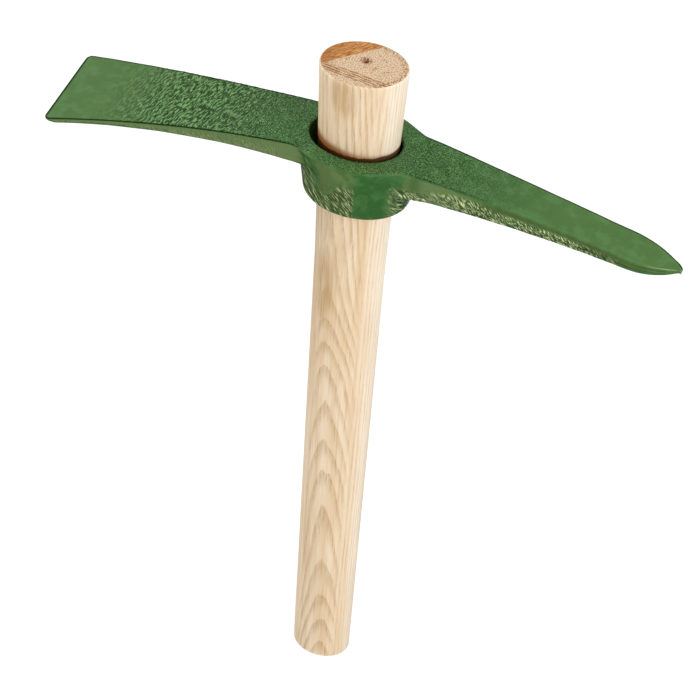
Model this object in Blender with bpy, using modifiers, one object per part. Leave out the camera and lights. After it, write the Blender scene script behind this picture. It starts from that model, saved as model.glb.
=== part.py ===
"""Hand pick mattock: a one-piece forged head, with an adze blade on one side and a pick on the other,
slipped over the thin end of a turned oval handle and jammed on the swell at its top.

Metres, +Z up. The origin is the centre of the handle's butt face. The adze points along -X, the pick
along +X, and the tool is symmetric across the plane Y = 0.
"""

import math

import bmesh
import bpy
from mathutils import Vector

MM = 0.001

# Handle: half-widths are taken along the head, and its section is the same oval all the way up
HANDLE_LENGTH = 383.0 * MM
HANDLE_BUTT_HALF_WIDTH = 14.4 * MM
HANDLE_TAPER = 0.008
HANDLE_SWELL_LENGTH = 111.7 * MM
HANDLE_SWELL = 2.5 * MM
HANDLE_SWELL_POWER = 1.2
HANDLE_OVALITY = 0.772
BUTT_ROUNDING = 1.5 * MM
TOP_ROUNDING = 1.1 * MM

# The top was sawn a little out of square: its slope along the head, and how far down the cut's tilt is felt
SAW_SLOPE = 0.045
SAW_SLOPE_DEPTH = 14.0 * MM

# Pit that the lathe's centre left in the top face
LATHE_PIT_RADIUS = 1.6 * MM
LATHE_PIT_FLOOR = 0.2
LATHE_PIT_DEPTH = 3.0 * MM
LATHE_PIT_X = -0.3 * MM
LATHE_PIT_Y = 2.6 * MM

# Eye: the handle's section with a clearance, flared open above the seat, most of all towards the adze
HEAD_BELOW_HANDLE_TOP = 41.4 * MM
COLLAR_HEIGHT = 30.9 * MM
EYE_CLEARANCE = 0.3 * MM
EYE_SEAT_HEIGHT = 9.0 * MM
EYE_FLARE_TO_ADZE = 3.9 * MM
EYE_FLARE_TO_PICK = 0.9 * MM
EYE_FLARE_ACROSS = 0.7 * MM
EYE_FLARE_POWER = 1.6
EYE_RIM_ROUNDING = 1.2 * MM

# Collar: wall thickness round the eye at its two rims
COLLAR_WALL_TOP_ADZE = 4.7 * MM
COLLAR_WALL_TOP_PICK = 9.3 * MM
COLLAR_WALL_TOP_ACROSS = 7.3 * MM
COLLAR_WALL_BOTTOM_ADZE = 6.0 * MM
COLLAR_WALL_BOTTOM_PICK = 6.8 * MM
COLLAR_WALL_BOTTOM_ACROSS = 5.3 * MM
COLLAR_TOP_ROUNDING = 1.3 * MM
COLLAR_BOTTOM_ROUNDING = 1.4 * MM

# Both arms: where they leave the collar, and how their top faces and edges are rounded
NECK_START = 15.0 * MM
ARM_DROOP_BLEND = 6.0 * MM
ARM_UNDER_ROUNDING = 1.2 * MM
ADZE_FILLET_IN_PLAN = 9.0 * MM
PICK_FILLET_IN_PLAN = 6.0 * MM

# Collar below the arms: how far down the side runs into the wall, at most this share of the way to the rim
COLLAR_BLEND = 11.0 * MM
BLEND_LIMIT = 0.95

# Shares of the way from an arm's plane to the eye where that blend begins, under the adze and under the pick
ADZE_BLEND_FROM = 0.6
PICK_BLEND_FROM = 0.35

# Adze: reach from the handle's axis, and the slope of its top face where it starts to droop and at the end
ADZE_REACH = 140.3 * MM
ADZE_DROOP_START = 15.0 * MM
ADZE_ROOT_SLOPE = 0.086
ADZE_END_SLOPE = 0.278
ADZE_NECK_HALF_WIDTH = 15.6 * MM
ADZE_EDGE_HALF_WIDTH = 24.1 * MM
ADZE_SPREAD_POWER = 1.61
ADZE_NECK_THICKNESS = 12.2 * MM
ADZE_BLADE_THICKNESS = 3.0 * MM
ADZE_THINNING_POWER = 1.85
ADZE_BEVEL_LENGTH = 5.0 * MM
ADZE_EDGE_THICKNESS = 0.5 * MM
ADZE_ROOT_GAP = 4.0 * MM
ADZE_UNDER_FILLET = 1.8 * MM
ADZE_SIDE_DRAFT = 0.03
ADZE_EDGE_ROUNDING = 0.6 * MM
ADZE_CORNER_RADIUS = 3.2 * MM

# Pick: reach from the handle's axis, and the slope of its top face where it starts to droop and at the end
PICK_REACH = 150.0 * MM
PICK_DROOP_START = 28.0 * MM
PICK_ROOT_SLOPE = 0.094
PICK_END_SLOPE = 0.204
PICK_ROOT_HALF_WIDTH = 14.7 * MM
PICK_SHOULDER_HALF_WIDTH = 9.3 * MM
PICK_TAPER_POWER = 1.6
PICK_SHOULDER_TO_TIP = 28.0 * MM
PICK_TIP_HALF_WIDTH = 0.5 * MM
PICK_POINT_PLAN_POWER = 2.7
PICK_POINT_DEPTH_POWER = 1.8
PICK_ROOT_THICKNESS = 17.7 * MM
PICK_ROOT_SWELL = 1.4 * MM
PICK_ROOT_SWELL_START = 26.0 * MM
PICK_ROOT_SWELL_END = 40.0 * MM
PICK_SHOULDER_THICKNESS = 7.6 * MM
PICK_TIP_THICKNESS = 2.6 * MM

# Nose at the very tip of the pick: how much of the thickness is left at its end, and how far its top falls
PICK_NOSE_LENGTH = 2.5 * MM
PICK_NOSE_BLUNTNESS = 0.3
PICK_NOSE_DROP = 2.1 * MM

# Pick: root, underside, side and edges
PICK_ROOT_GAP = 7.0 * MM
PICK_UNDER_FILLET = 8.0 * MM
PICK_SIDE_DRAFT = 0.11
PICK_EDGE_ROUNDING = 1.2 * MM

# Where the two forging dies met: depth down the arms' sides as a share, and how far it stands out
PARTING_DEPTH = 0.5
PARTING_BULGE = 0.3 * MM

# Points closer than this are one, and a cutter stands past the face it cuts by this share of the cut's depth
WELD = 0.002 * MM
CUTTER_BEYOND_FACE = 0.5

# Facets
HANDLE_STEPS = 72
PIT_STEPS = 16
ARC_STEPS = 2
LAND_STEPS = 2
HALF_TOP_STEPS = 3
WALL_STEPS = 4
EYE_STEPS = 6
SIDE_COLUMNS = 30
ADZE_STATIONS = 22
BEVEL_STATIONS = 7
PICK_STATIONS = 18
TIP_STATIONS = 12

HEAD_TOP = HANDLE_LENGTH - HEAD_BELOW_HANDLE_TOP
HEAD_BOTTOM = HEAD_TOP - COLLAR_HEIGHT


def smoothstep(low, high, value):
    """0 below low, 1 above high, and an S-curve between."""
    share = min(max((value - low) / (high - low), 0.0), 1.0)
    return share * share * (3.0 - 2.0 * share)


def mix(first, second, share):
    return first + (second - first) * share


def spaced(first, last, steps):
    return [mix(first, last, step / steps) for step in range(steps + 1)]


def soft_ramp(distance, blend):
    """Zero before the start, the distance itself after it, and a parabola across the change."""
    if distance <= -blend:
        return 0.0
    if distance >= blend:
        return distance
    return (distance + blend) ** 2 / (4.0 * blend)


def smooth_max(first, second, reach):
    """The larger value, with a rounded change where the two are within reach of each other."""
    near = max(reach - abs(first - second), 0.0) / reach
    return max(first, second) + near * near * reach / 4.0


def quarter_arc(steps):
    """Sine and cosine pairs along a quarter circle, from (0, 1) to (1, 0)."""
    angles = [0.5 * math.pi * step / steps for step in range(steps + 1)]
    return [(math.sin(angle), math.cos(angle)) for angle in angles]


def handle_half_width(z):
    """Half-width of the handle along X at height z: a slight taper, and the swell under the head."""
    swell_start = HANDLE_LENGTH - HANDLE_SWELL_LENGTH
    rise = max(z - swell_start, 0.0) / HANDLE_SWELL_LENGTH
    return HANDLE_BUTT_HALF_WIDTH + HANDLE_TAPER * z + HANDLE_SWELL * rise ** HANDLE_SWELL_POWER


def handle_profile():
    """Outer profile in the X-Z plane, from the centre of the top face down to that of the butt."""
    points = [(0.0, HANDLE_LENGTH)]
    top = handle_half_width(HANDLE_LENGTH - TOP_ROUNDING)
    for sine, cosine in quarter_arc(2 * ARC_STEPS):
        points.append((top - TOP_ROUNDING * (1.0 - sine), HANDLE_LENGTH - TOP_ROUNDING * (1.0 - cosine)))
    low = BUTT_ROUNDING
    high = HANDLE_LENGTH - TOP_ROUNDING
    swell_start = HANDLE_LENGTH - HANDLE_SWELL_LENGTH
    for step in range(1, 2 * WALL_STEPS):
        z = mix(high, swell_start, step / (2 * WALL_STEPS))
        points.append((handle_half_width(z), z))
    for step in range(WALL_STEPS):
        z = mix(swell_start, low, step / WALL_STEPS)
        points.append((handle_half_width(z), z))
    butt = handle_half_width(low)
    for sine, cosine in quarter_arc(2 * ARC_STEPS):
        points.append((butt - BUTT_ROUNDING * (1.0 - cosine), BUTT_ROUNDING * (1.0 - sine)))
    points.append((0.0, 0.0))
    return points


def sawn(point):
    """Move a point of the handle up or down with the slope of its sawn top."""
    share = smoothstep(HANDLE_LENGTH - SAW_SLOPE_DEPTH, HANDLE_LENGTH, point.z)
    return point + Vector((0.0, 0.0, SAW_SLOPE * point.x * share))


def handle_column(angle):
    """Points of the profile turned to an angle, squeezed to the oval and sheared to the sawn slope."""
    across = HANDLE_OVALITY * math.sin(angle)
    return [sawn(Vector((x * math.cos(angle), x * across, z))) for x, z in handle_profile()]


def eye_oval(z):
    """Centre and the two half-axes of the eye at height z."""
    seat_top = HEAD_BOTTOM + EYE_SEAT_HEIGHT
    flare = (max(z - seat_top, 0.0) / (HEAD_TOP - seat_top)) ** EYE_FLARE_POWER
    centre = 0.5 * (EYE_FLARE_TO_PICK - EYE_FLARE_TO_ADZE) * flare
    half_x = handle_half_width(z) + EYE_CLEARANCE + 0.5 * (EYE_FLARE_TO_PICK + EYE_FLARE_TO_ADZE) * flare
    half_y = handle_half_width(z) * HANDLE_OVALITY + EYE_CLEARANCE + EYE_FLARE_ACROSS * flare
    return centre, half_x, half_y


def walled_oval(z, adze_wall, pick_wall, across_wall):
    """The eye's oval at height z, grown by the wall thickness on each side."""
    centre, half_x, half_y = eye_oval(z)
    shift = 0.5 * (pick_wall - adze_wall)
    return centre + shift, half_x + 0.5 * (pick_wall + adze_wall), half_y + across_wall


TOP_OVAL = walled_oval(HEAD_TOP, COLLAR_WALL_TOP_ADZE, COLLAR_WALL_TOP_PICK, COLLAR_WALL_TOP_ACROSS)
BOTTOM_OVAL = walled_oval(
    HEAD_BOTTOM, COLLAR_WALL_BOTTOM_ADZE, COLLAR_WALL_BOTTOM_PICK, COLLAR_WALL_BOTTOM_ACROSS
)
ADZE_ROOT = TOP_OVAL[1] - TOP_OVAL[0] + ADZE_ROOT_GAP
PICK_ROOT = TOP_OVAL[1] + TOP_OVAL[0] + PICK_ROOT_GAP


def oval_point(oval, angle, z, inset=0.0):
    """Point of an oval at an angle, moved in by inset."""
    centre, half_x, half_y = oval
    x = centre + (half_x - inset) * math.cos(angle)
    return Vector((x, (half_y - inset) * math.sin(angle), z))


def collar_point(angle, z, inset=0.0):
    """Point of the collar's drafted outer wall."""
    share = (HEAD_TOP - z) / COLLAR_HEIGHT
    oval = [mix(top, bottom, share) for top, bottom in zip(TOP_OVAL, BOTTOM_OVAL)]
    return oval_point(oval, angle, z, inset)


def nose(x):
    """1 along the head, and at the pick's tip the rounded fall to 0."""
    into = min(max((x - PICK_REACH) / PICK_NOSE_LENGTH + 1.0, 0.0), 1.0)
    return math.sqrt(1.0 - into * into)


def top_height(x):
    """Height of the head's top face, which droops along both arms in a gentle arc."""
    if x < 0.0:
        start, root_slope, end_slope, reach = ADZE_DROOP_START, ADZE_ROOT_SLOPE, ADZE_END_SLOPE, ADZE_REACH
    else:
        start, root_slope, end_slope, reach = PICK_DROOP_START, PICK_ROOT_SLOPE, PICK_END_SLOPE, PICK_REACH
    along = soft_ramp(abs(x) - start, ARM_DROOP_BLEND)
    bend = 0.5 * (end_slope - root_slope) / (reach - start)
    return HEAD_TOP - root_slope * along - bend * along * along - PICK_NOSE_DROP * (1.0 - nose(x))


def adze_share(x):
    """0 at the adze's neck and 1 at its cutting edge."""
    return min((-x - NECK_START) / (ADZE_REACH - NECK_START), 1.0)


def pick_share(x):
    """0 at the pick's root and 1 at its shoulder, where the point begins."""
    shoulder = PICK_REACH - PICK_SHOULDER_TO_TIP
    return (x - NECK_START) / (shoulder - NECK_START)


def point_share(x):
    """0 at the pick's shoulder and 1 at its tip."""
    past_shoulder = max(x - (PICK_REACH - PICK_SHOULDER_TO_TIP), 0.0)
    return min(past_shoulder / PICK_SHOULDER_TO_TIP, 1.0)


def arm_half_width(x):
    """Half-width of the arms' top edge; behind the collar the two arms run into each other."""
    if x <= -NECK_START:
        width = mix(ADZE_NECK_HALF_WIDTH, ADZE_EDGE_HALF_WIDTH, adze_share(x) ** ADZE_SPREAD_POWER)
        into_corner = 1.0 - min((ADZE_REACH + x) / ADZE_CORNER_RADIUS, 1.0)
        return width - ADZE_CORNER_RADIUS * (1.0 - math.sqrt(1.0 - into_corner * into_corner))
    if x < NECK_START:
        share = 0.5 + 0.5 * x / NECK_START
        return mix(ADZE_NECK_HALF_WIDTH, PICK_ROOT_HALF_WIDTH, share)
    taper = max(1.0 - pick_share(x), 0.0) ** PICK_TAPER_POWER
    width = mix(PICK_SHOULDER_HALF_WIDTH, PICK_ROOT_HALF_WIDTH, taper)
    ogive = 1.0 - point_share(x) ** PICK_POINT_PLAN_POWER
    return mix(PICK_TIP_HALF_WIDTH, width, ogive)


def arm_thickness(x):
    """Depth from the top face to the underside of the arms."""
    if x <= -NECK_START:
        thinning = (1.0 - adze_share(x)) ** ADZE_THINNING_POWER
        blade = mix(ADZE_BLADE_THICKNESS, ADZE_NECK_THICKNESS, thinning)
        bevel = min((ADZE_REACH + x) / ADZE_BEVEL_LENGTH, 1.0)
        return mix(ADZE_EDGE_THICKNESS, blade, bevel)
    if x < NECK_START:
        share = 0.5 + 0.5 * x / NECK_START
        return mix(ADZE_NECK_THICKNESS, PICK_ROOT_THICKNESS, share)
    past_swell = PICK_ROOT_SWELL * smoothstep(PICK_ROOT_SWELL_START, PICK_ROOT_SWELL_END, x)
    end_thickness = PICK_SHOULDER_THICKNESS + PICK_ROOT_SWELL
    thickness = mix(PICK_ROOT_THICKNESS, end_thickness, min(pick_share(x), 1.0)) - past_swell
    thickness = mix(thickness, PICK_TIP_THICKNESS, point_share(x) ** PICK_POINT_DEPTH_POWER)
    return thickness * mix(PICK_NOSE_BLUNTNESS, 1.0, nose(x))


def unfilleted(x):
    """Half-widths of the arm and of the collar's top edge at x."""
    centre, half_x, half_y = TOP_OVAL
    off = min(abs(x - centre) / half_x, 1.0)
    return arm_half_width(x), half_y * math.sqrt(1.0 - off * off)


def outline(x):
    """Half-width of the head's top edge in plan: arm, fillet, collar, fillet, arm."""
    fillet = mix(ADZE_FILLET_IN_PLAN, PICK_FILLET_IN_PLAN, smoothstep(-NECK_START, NECK_START, x))
    return smooth_max(*unfilleted(x), fillet)


def collar_weight(x):
    """1 beside the eye, falling to 0 at the planes where the arms begin."""
    root = ADZE_ROOT if x < 0.0 else PICK_ROOT
    return 1.0 - smoothstep(0.5 * root, root, abs(x))


def plan_normal(x):
    """Outward direction of the outline; straight across the tool on the arms."""
    if collar_weight(x) == 0.0:
        return Vector((0.0, 1.0, 0.0))
    step = 0.1 * MM
    slope = (outline(x + step) - outline(x - step)) / (2.0 * step)
    return Vector((-slope * smoothstep(0.0, 0.3, collar_weight(x)), 1.0, 0.0)).normalized()


def plan_angle(x, y):
    """Angle of a plan point on the collar's top oval."""
    centre, half_x, half_y = TOP_OVAL
    return math.atan2(y / half_y, (x - centre) / half_x)


def side_wall(x):
    """Points down the side at outline station x, from the top edge's rounding to the underside's.

    On an arm the side has its forging draft and parting line; beside the eye it is the collar's wall.
    The fillet in plan fades away down the side.
    """
    weight = collar_weight(x)
    thickness = arm_thickness(x)
    draft = ADZE_SIDE_DRAFT if x < 0.0 else PICK_SIDE_DRAFT
    edge_rounding = ADZE_EDGE_ROUNDING if x < 0.0 else PICK_EDGE_ROUNDING
    z_top = top_height(x)
    edge = Vector((x, outline(x), z_top))
    normal = plan_normal(x)
    angle = plan_angle(x, edge.y)
    top_round = min(mix(edge_rounding, COLLAR_TOP_ROUNDING, weight), 0.3 * thickness, 0.6 * edge.y)
    under_round = min(ARM_UNDER_ROUNDING, 0.35 * thickness, 0.6 * edge.y)
    inset = draft * thickness
    bulge = min(PARTING_BULGE, 0.1 * thickness)
    fillet = edge.y - max(unfilleted(x))
    levels = []
    for sine, cosine in quarter_arc(ARC_STEPS):
        levels.append((top_round * (1.0 - cosine), top_round * (sine - 1.0), 0.0))
    levels.append((PARTING_DEPTH * thickness, bulge, 0.0))
    for step, (sine, cosine) in enumerate(quarter_arc(ARC_STEPS)):
        arm_depth = thickness - under_round * (1.0 - sine)
        collar_depth = mix(0.8 * thickness, thickness, step / ARC_STEPS)
        levels.append((arm_depth, -inset - under_round * (1.0 - cosine), collar_depth - arm_depth))
    points = []
    for depth, outset, collar_shift in levels:
        depth += weight * collar_shift
        rounding = depth < top_round
        own_outset = outset if rounding else outset * (1.0 - weight)
        own_outset -= fillet * depth / thickness
        drift = collar_point(angle, z_top - depth) - collar_point(angle, z_top)
        point = edge + normal * own_outset + Vector((drift.x, drift.y, 0.0)) * weight
        points.append(Vector((point.x, point.y, z_top - depth)))
    return points


def under_wall(start, angle, fillet, weight):
    """Points from the underside's edge through the fillet, down the collar and in to the eye.

    With weight 0 the underside meets the wall square, and with 1 the side runs on into the wall.
    """
    low = HEAD_BOTTOM + COLLAR_BOTTOM_ROUNDING
    fillet = min(fillet, BLEND_LIMIT * (start.z - low))
    corner = collar_point(angle, start.z)
    half_way = collar_point(angle, start.z - 0.5 * fillet)
    end = collar_point(angle, start.z - fillet)
    first = corner.lerp(start + half_way - corner, weight)
    second = corner.lerp(half_way, weight)
    points = []
    for share in spaced(0.0, 1.0, 2 * ARC_STEPS)[1:]:
        before = start.lerp(first, share).lerp(first.lerp(second, share), share)
        after = first.lerp(second, share).lerp(second.lerp(end, share), share)
        points.append(before.lerp(after, share))
    for step in range(1, WALL_STEPS):
        points.append(collar_point(angle, mix(end.z, low, step / WALL_STEPS)))
    for sine, cosine in quarter_arc(ARC_STEPS):
        z = HEAD_BOTTOM + COLLAR_BOTTOM_ROUNDING * (1.0 - sine)
        points.append(collar_point(angle, z, COLLAR_BOTTOM_ROUNDING * (1.0 - cosine)))
    return points


def eye_wall(angle):
    """Points up the eye's wall, from the bottom rim's chamfer to where the top rim's rounding ends."""
    points = [oval_point(eye_oval(HEAD_BOTTOM), angle, HEAD_BOTTOM, -0.5 * EYE_RIM_ROUNDING)]
    low = HEAD_BOTTOM + 0.5 * EYE_RIM_ROUNDING
    rim = top_height(oval_point(eye_oval(HEAD_TOP), angle, HEAD_TOP).x)
    high = rim - EYE_RIM_ROUNDING
    for step in range(EYE_STEPS):
        z = mix(low, high, step / EYE_STEPS)
        points.append(oval_point(eye_oval(z), angle, z))
    for sine, cosine in quarter_arc(ARC_STEPS):
        z = rim - EYE_RIM_ROUNDING * (1.0 - sine)
        points.append(oval_point(eye_oval(high), angle, z, -EYE_RIM_ROUNDING * (1.0 - cosine)))
    return points


def top_land(inner, outer):
    """Points between the eye's rim and the outer edge, on the drooping top face."""
    points = []
    for step in range(1, LAND_STEPS):
        point = inner.lerp(outer, step / LAND_STEPS)
        points.append(Vector((point.x, point.y, top_height(point.x))))
    return points


def arm_section(x):
    """Half a section of an arm: out along the top, down the side and back in along the underside."""
    side = side_wall(x)
    top_centre = Vector((x, 0.0, side[0].z))
    under_centre = Vector((x, 0.0, side[-1].z))
    top = [top_centre.lerp(side[0], step / HALF_TOP_STEPS) for step in range(HALF_TOP_STEPS)]
    under = [side[-1].lerp(under_centre, step / HALF_TOP_STEPS) for step in range(1, HALF_TOP_STEPS + 1)]
    return top + side + under


def root_column(top, under, fillet):
    """Points round the collar behind an arm, from the arm's underside to its top face."""
    angle = plan_angle(top.x, top.y)
    eye = eye_wall(angle)
    return [under] + under_wall(under, angle, fillet, 0.0) + eye + top_land(eye[-1], top) + [top]


def side_column(x):
    """Closed ring of points round the collar's wall at outline station x."""
    side = side_wall(x)
    angle = plan_angle(side[0].x, side[0].y)
    share = 0.5 + 0.5 * x / (ADZE_ROOT if x < 0.0 else PICK_ROOT)
    weight = smoothstep(ADZE_BLEND_FROM if x < 0.0 else PICK_BLEND_FROM, 1.0, collar_weight(x))
    fillet = mix(mix(ADZE_UNDER_FILLET, PICK_UNDER_FILLET, share), COLLAR_BLEND, weight)
    eye = eye_wall(angle)
    return eye + top_land(eye[-1], side[0]) + side + under_wall(side[-1], angle, fillet, weight)


def skin(mesh, rows, closed):
    """Quads between neighbouring rows of points; closed joins each row's last point to its first."""
    loops = [[mesh.verts.new(point) for point in row] for row in rows]
    for first, second in zip(loops, loops[1:]):
        count = len(first)
        for index in range(count if closed else count - 1):
            after = (index + 1) % count
            mesh.faces.new((first[index], first[after], second[after], second[index]))
    return loops


def root_patch(mesh, section, fillet):
    """The part of the collar behind one arm, between the middle plane and the arm's side."""
    columns = []
    for step in range(HALF_TOP_STEPS + 1):
        columns.append(root_column(section[step], section[-1 - step], fillet))
    skin(mesh, columns, closed=False)


def eased(first, last, steps):
    """Stations that crowd together towards the last one."""
    return [mix(first, last, math.sin(0.5 * math.pi * step / steps)) for step in range(steps + 1)]


def head_half_mesh():
    """The head's half at +Y, open at the middle plane."""
    adze_stations = spaced(-ADZE_ROOT, -ADZE_REACH + ADZE_BEVEL_LENGTH, ADZE_STATIONS)
    adze_stations += eased(-ADZE_REACH + ADZE_BEVEL_LENGTH, -ADZE_REACH, BEVEL_STATIONS)[1:]
    pick_stations = spaced(PICK_ROOT, PICK_REACH - PICK_SHOULDER_TO_TIP, PICK_STATIONS)
    pick_stations += eased(PICK_REACH - PICK_SHOULDER_TO_TIP, PICK_REACH, TIP_STATIONS)[1:]
    adze = [arm_section(x) for x in adze_stations]
    pick = [arm_section(x) for x in pick_stations]
    mesh = bmesh.new()
    root_patch(mesh, adze[0], ADZE_UNDER_FILLET)
    root_patch(mesh, pick[0], PICK_UNDER_FILLET)
    side = [side_column(x) for x in spaced(-ADZE_ROOT, PICK_ROOT, SIDE_COLUMNS)]
    skin(mesh, side, closed=True)
    for sections in (adze, pick):
        loops = skin(mesh, sections, closed=False)
        mesh.faces.new(loops[-1])
    bmesh.ops.remove_doubles(mesh, verts=mesh.verts, dist=WELD)
    bmesh.ops.recalc_face_normals(mesh, faces=mesh.faces)
    return mesh


def principled(name, colour, roughness, metallic):
    """A plain material with the part's colour."""
    material = bpy.data.materials.new(name)
    material.use_nodes = True
    shader = material.node_tree.nodes["Principled BSDF"]
    shader.inputs["Base Color"].default_value = (*colour, 1.0)
    shader.inputs["Roughness"].default_value = roughness
    shader.inputs["Metallic"].default_value = metallic
    return material


def place(name, mesh, collection, material=None):
    """Put a mesh into the scene as a named object."""
    item = bpy.data.objects.new(name, mesh)
    collection.objects.link(item)
    if material is not None:
        mesh.materials.append(material)
        mesh.shade_smooth()
        mesh.set_sharp_from_angle(angle=math.radians(35.0))
    return item


def make_lathe_pit(collection):
    """Cone that cuts the lathe centre's pit into the handle's top face."""
    mesh = bmesh.new()
    floor_radius = LATHE_PIT_FLOOR * LATHE_PIT_RADIUS
    radius_beyond_face = LATHE_PIT_RADIUS + CUTTER_BEYOND_FACE * (LATHE_PIT_RADIUS - floor_radius)
    bmesh.ops.create_cone(
        mesh,
        cap_ends=True,
        segments=PIT_STEPS,
        radius1=floor_radius,
        radius2=radius_beyond_face,
        depth=(1.0 + CUTTER_BEYOND_FACE) * LATHE_PIT_DEPTH,
    )
    data = bpy.data.meshes.new("lathe_pit_cutter")
    mesh.to_mesh(data)
    mesh.free()
    cutter = place("lathe_pit_cutter", data, collection)
    height = HANDLE_LENGTH + 0.5 * (CUTTER_BEYOND_FACE - 1.0) * LATHE_PIT_DEPTH
    cutter.location = (LATHE_PIT_X, LATHE_PIT_Y, height)
    cutter.hide_render = True
    cutter.display_type = "WIRE"
    return cutter


def make_handle(collection, cutters):
    """The handle, turned from its profile with an oval section and sawn off at its top."""
    turned = bmesh.new()
    skin(turned, [handle_column(angle) for angle in spaced(0.0, 2.0 * math.pi, HANDLE_STEPS)], closed=False)
    bmesh.ops.remove_doubles(turned, verts=turned.verts, dist=WELD)
    bmesh.ops.recalc_face_normals(turned, faces=turned.faces)
    mesh = bpy.data.meshes.new("ash_handle")
    turned.to_mesh(mesh)
    turned.free()
    wood = principled("ash_wood", (0.76, 0.60, 0.42), 0.55, 0.0)
    handle = place("ash_handle", mesh, collection, wood)
    pit = handle.modifiers.new("lathe_pit", "BOOLEAN")
    pit.operation = "DIFFERENCE"
    pit.solver = "EXACT"
    pit.object = make_lathe_pit(cutters)
    return handle


def make_head(collection):
    """The forged head, its half mirrored across the middle plane."""
    half = head_half_mesh()
    mesh = bpy.data.meshes.new("forged_head")
    half.to_mesh(mesh)
    half.free()
    paint = principled("green_paint", (0.07, 0.21, 0.08), 0.35, 0.0)
    head = place("forged_head", mesh, collection, paint)
    mirror = head.modifiers.new("other_half", "MIRROR")
    mirror.use_axis = (False, True, False)
    mirror.use_clip = True
    mirror.merge_threshold = WELD
    return head


def new_collection(name):
    collection = bpy.data.collections.new(name)
    bpy.context.scene.collection.children.link(collection)
    return collection


def main():
    for item in list(bpy.data.objects):
        bpy.data.objects.remove(item, do_unlink=True)
    parts = new_collection("hand_pick_mattock")
    cutters = new_collection("cutters")
    make_handle(parts, cutters)
    make_head(parts)


main()
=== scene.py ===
"""Hand pick mattock on a white studio floor.

The forged head is rebuilt at a fine resolution with its hammered and die-struck surface as geometry, under a
green enamel. The ash handle is rebuilt with its rim, lathe pit and sawn end, and its grain is cut from
growth rings in three dimensions. Everything is in metres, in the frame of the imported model.
"""

import logging
import math
from dataclasses import dataclass, field
from enum import Enum
from typing import Optional, Sequence, Union

import bmesh
import bpy
from mathutils import Matrix, Vector, noise

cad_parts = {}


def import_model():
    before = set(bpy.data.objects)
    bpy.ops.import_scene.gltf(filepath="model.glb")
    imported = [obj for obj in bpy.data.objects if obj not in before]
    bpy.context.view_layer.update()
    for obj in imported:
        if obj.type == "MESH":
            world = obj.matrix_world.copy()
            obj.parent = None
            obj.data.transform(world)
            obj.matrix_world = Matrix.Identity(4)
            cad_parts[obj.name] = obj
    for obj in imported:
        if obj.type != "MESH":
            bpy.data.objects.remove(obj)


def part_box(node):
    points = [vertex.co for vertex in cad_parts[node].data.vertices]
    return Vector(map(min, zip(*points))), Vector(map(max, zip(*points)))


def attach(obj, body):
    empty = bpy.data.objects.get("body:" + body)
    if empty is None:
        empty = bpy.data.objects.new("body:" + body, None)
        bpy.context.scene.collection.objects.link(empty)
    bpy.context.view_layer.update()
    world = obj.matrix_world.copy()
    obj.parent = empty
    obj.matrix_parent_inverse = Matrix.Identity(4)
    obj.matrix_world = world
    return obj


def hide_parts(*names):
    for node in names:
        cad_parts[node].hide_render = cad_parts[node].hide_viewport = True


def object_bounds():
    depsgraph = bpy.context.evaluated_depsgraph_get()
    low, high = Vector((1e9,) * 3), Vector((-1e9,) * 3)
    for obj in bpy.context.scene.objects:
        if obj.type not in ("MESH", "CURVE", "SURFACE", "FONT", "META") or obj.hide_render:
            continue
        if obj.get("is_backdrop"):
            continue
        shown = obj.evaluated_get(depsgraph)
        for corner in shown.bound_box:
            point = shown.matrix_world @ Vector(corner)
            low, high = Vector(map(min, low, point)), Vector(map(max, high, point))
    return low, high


MM = 0.001
PER_MM = 1000.0
WELD = 0.002 * MM
IMAGE_SIZE_PX = 700
SENSOR_MM = 36.0
WHITE = "#ffffff"
AXIS_X = (1.0, 0.0, 0.0)
AXIS_Y = (0.0, 1.0, 0.0)
AXIS_Z = (0.0, 0.0, 1.0)

Pair = tuple[float, float]
Triple = tuple[float, float, float]
Socket = bpy.types.NodeSocket
Value = Union[float, str, Sequence[float], Socket]

log = logging.getLogger("hand_pick_mattock")


def smoothstep(low: float, high: float, value: float) -> float:
    """Ease from 0 to 1 as a value goes from low to high.

    Args:
        low: Value at which the result is 0. It may be larger than high.
        high: Value at which the result is 1.
        value: The value to look up.

    Returns:
        A number from 0 to 1.
    """
    share = min(max((value - low) / (high - low), 0.0), 1.0)
    return share * share * (3.0 - 2.0 * share)


def mix(first: float, second: float, share: float) -> float:
    """Blend two numbers; share 0 gives the first and 1 the second."""
    return first + (second - first) * share


def smooth_max(first: float, second: float, reach: float) -> float:
    """Take the larger of two values with a rounded change between them.

    Args:
        first: One value.
        second: The other value.
        reach: How close the two have to be for the rounding to show.

    Returns:
        The larger value, or a little more where they nearly meet.
    """
    near = max(reach - abs(first - second), 0.0) / reach
    return max(first, second) + near * near * reach / 4.0


def soft_ramp(distance: float, blend: float) -> float:
    """Run from 0 to the distance itself, with a parabola across the change.

    Args:
        distance: Signed distance past the start of the ramp.
        blend: Half-length of the parabola.

    Returns:
        The ramp's height.
    """
    if distance <= -blend:
        return 0.0
    if distance >= blend:
        return distance
    return (distance + blend) ** 2 / (4.0 * blend)


def quarter_arc(steps: int) -> list[Pair]:
    """List sine and cosine pairs along a quarter circle, from (0, 1) to (1, 0)."""
    angles = [0.5 * math.pi * step / steps for step in range(steps + 1)]
    return [(math.sin(angle), math.cos(angle)) for angle in angles]


def spaced(first: float, last: float, steps: int) -> list[float]:
    """List evenly spaced stations, both ends included."""
    return [mix(first, last, step / steps) for step in range(steps + 1)]


def eased(first: float, last: float, steps: int) -> list[float]:
    """List stations that crowd together towards the last one."""
    return [mix(first, last, math.sin(0.5 * math.pi * step / steps)) for step in range(steps + 1)]


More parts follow.
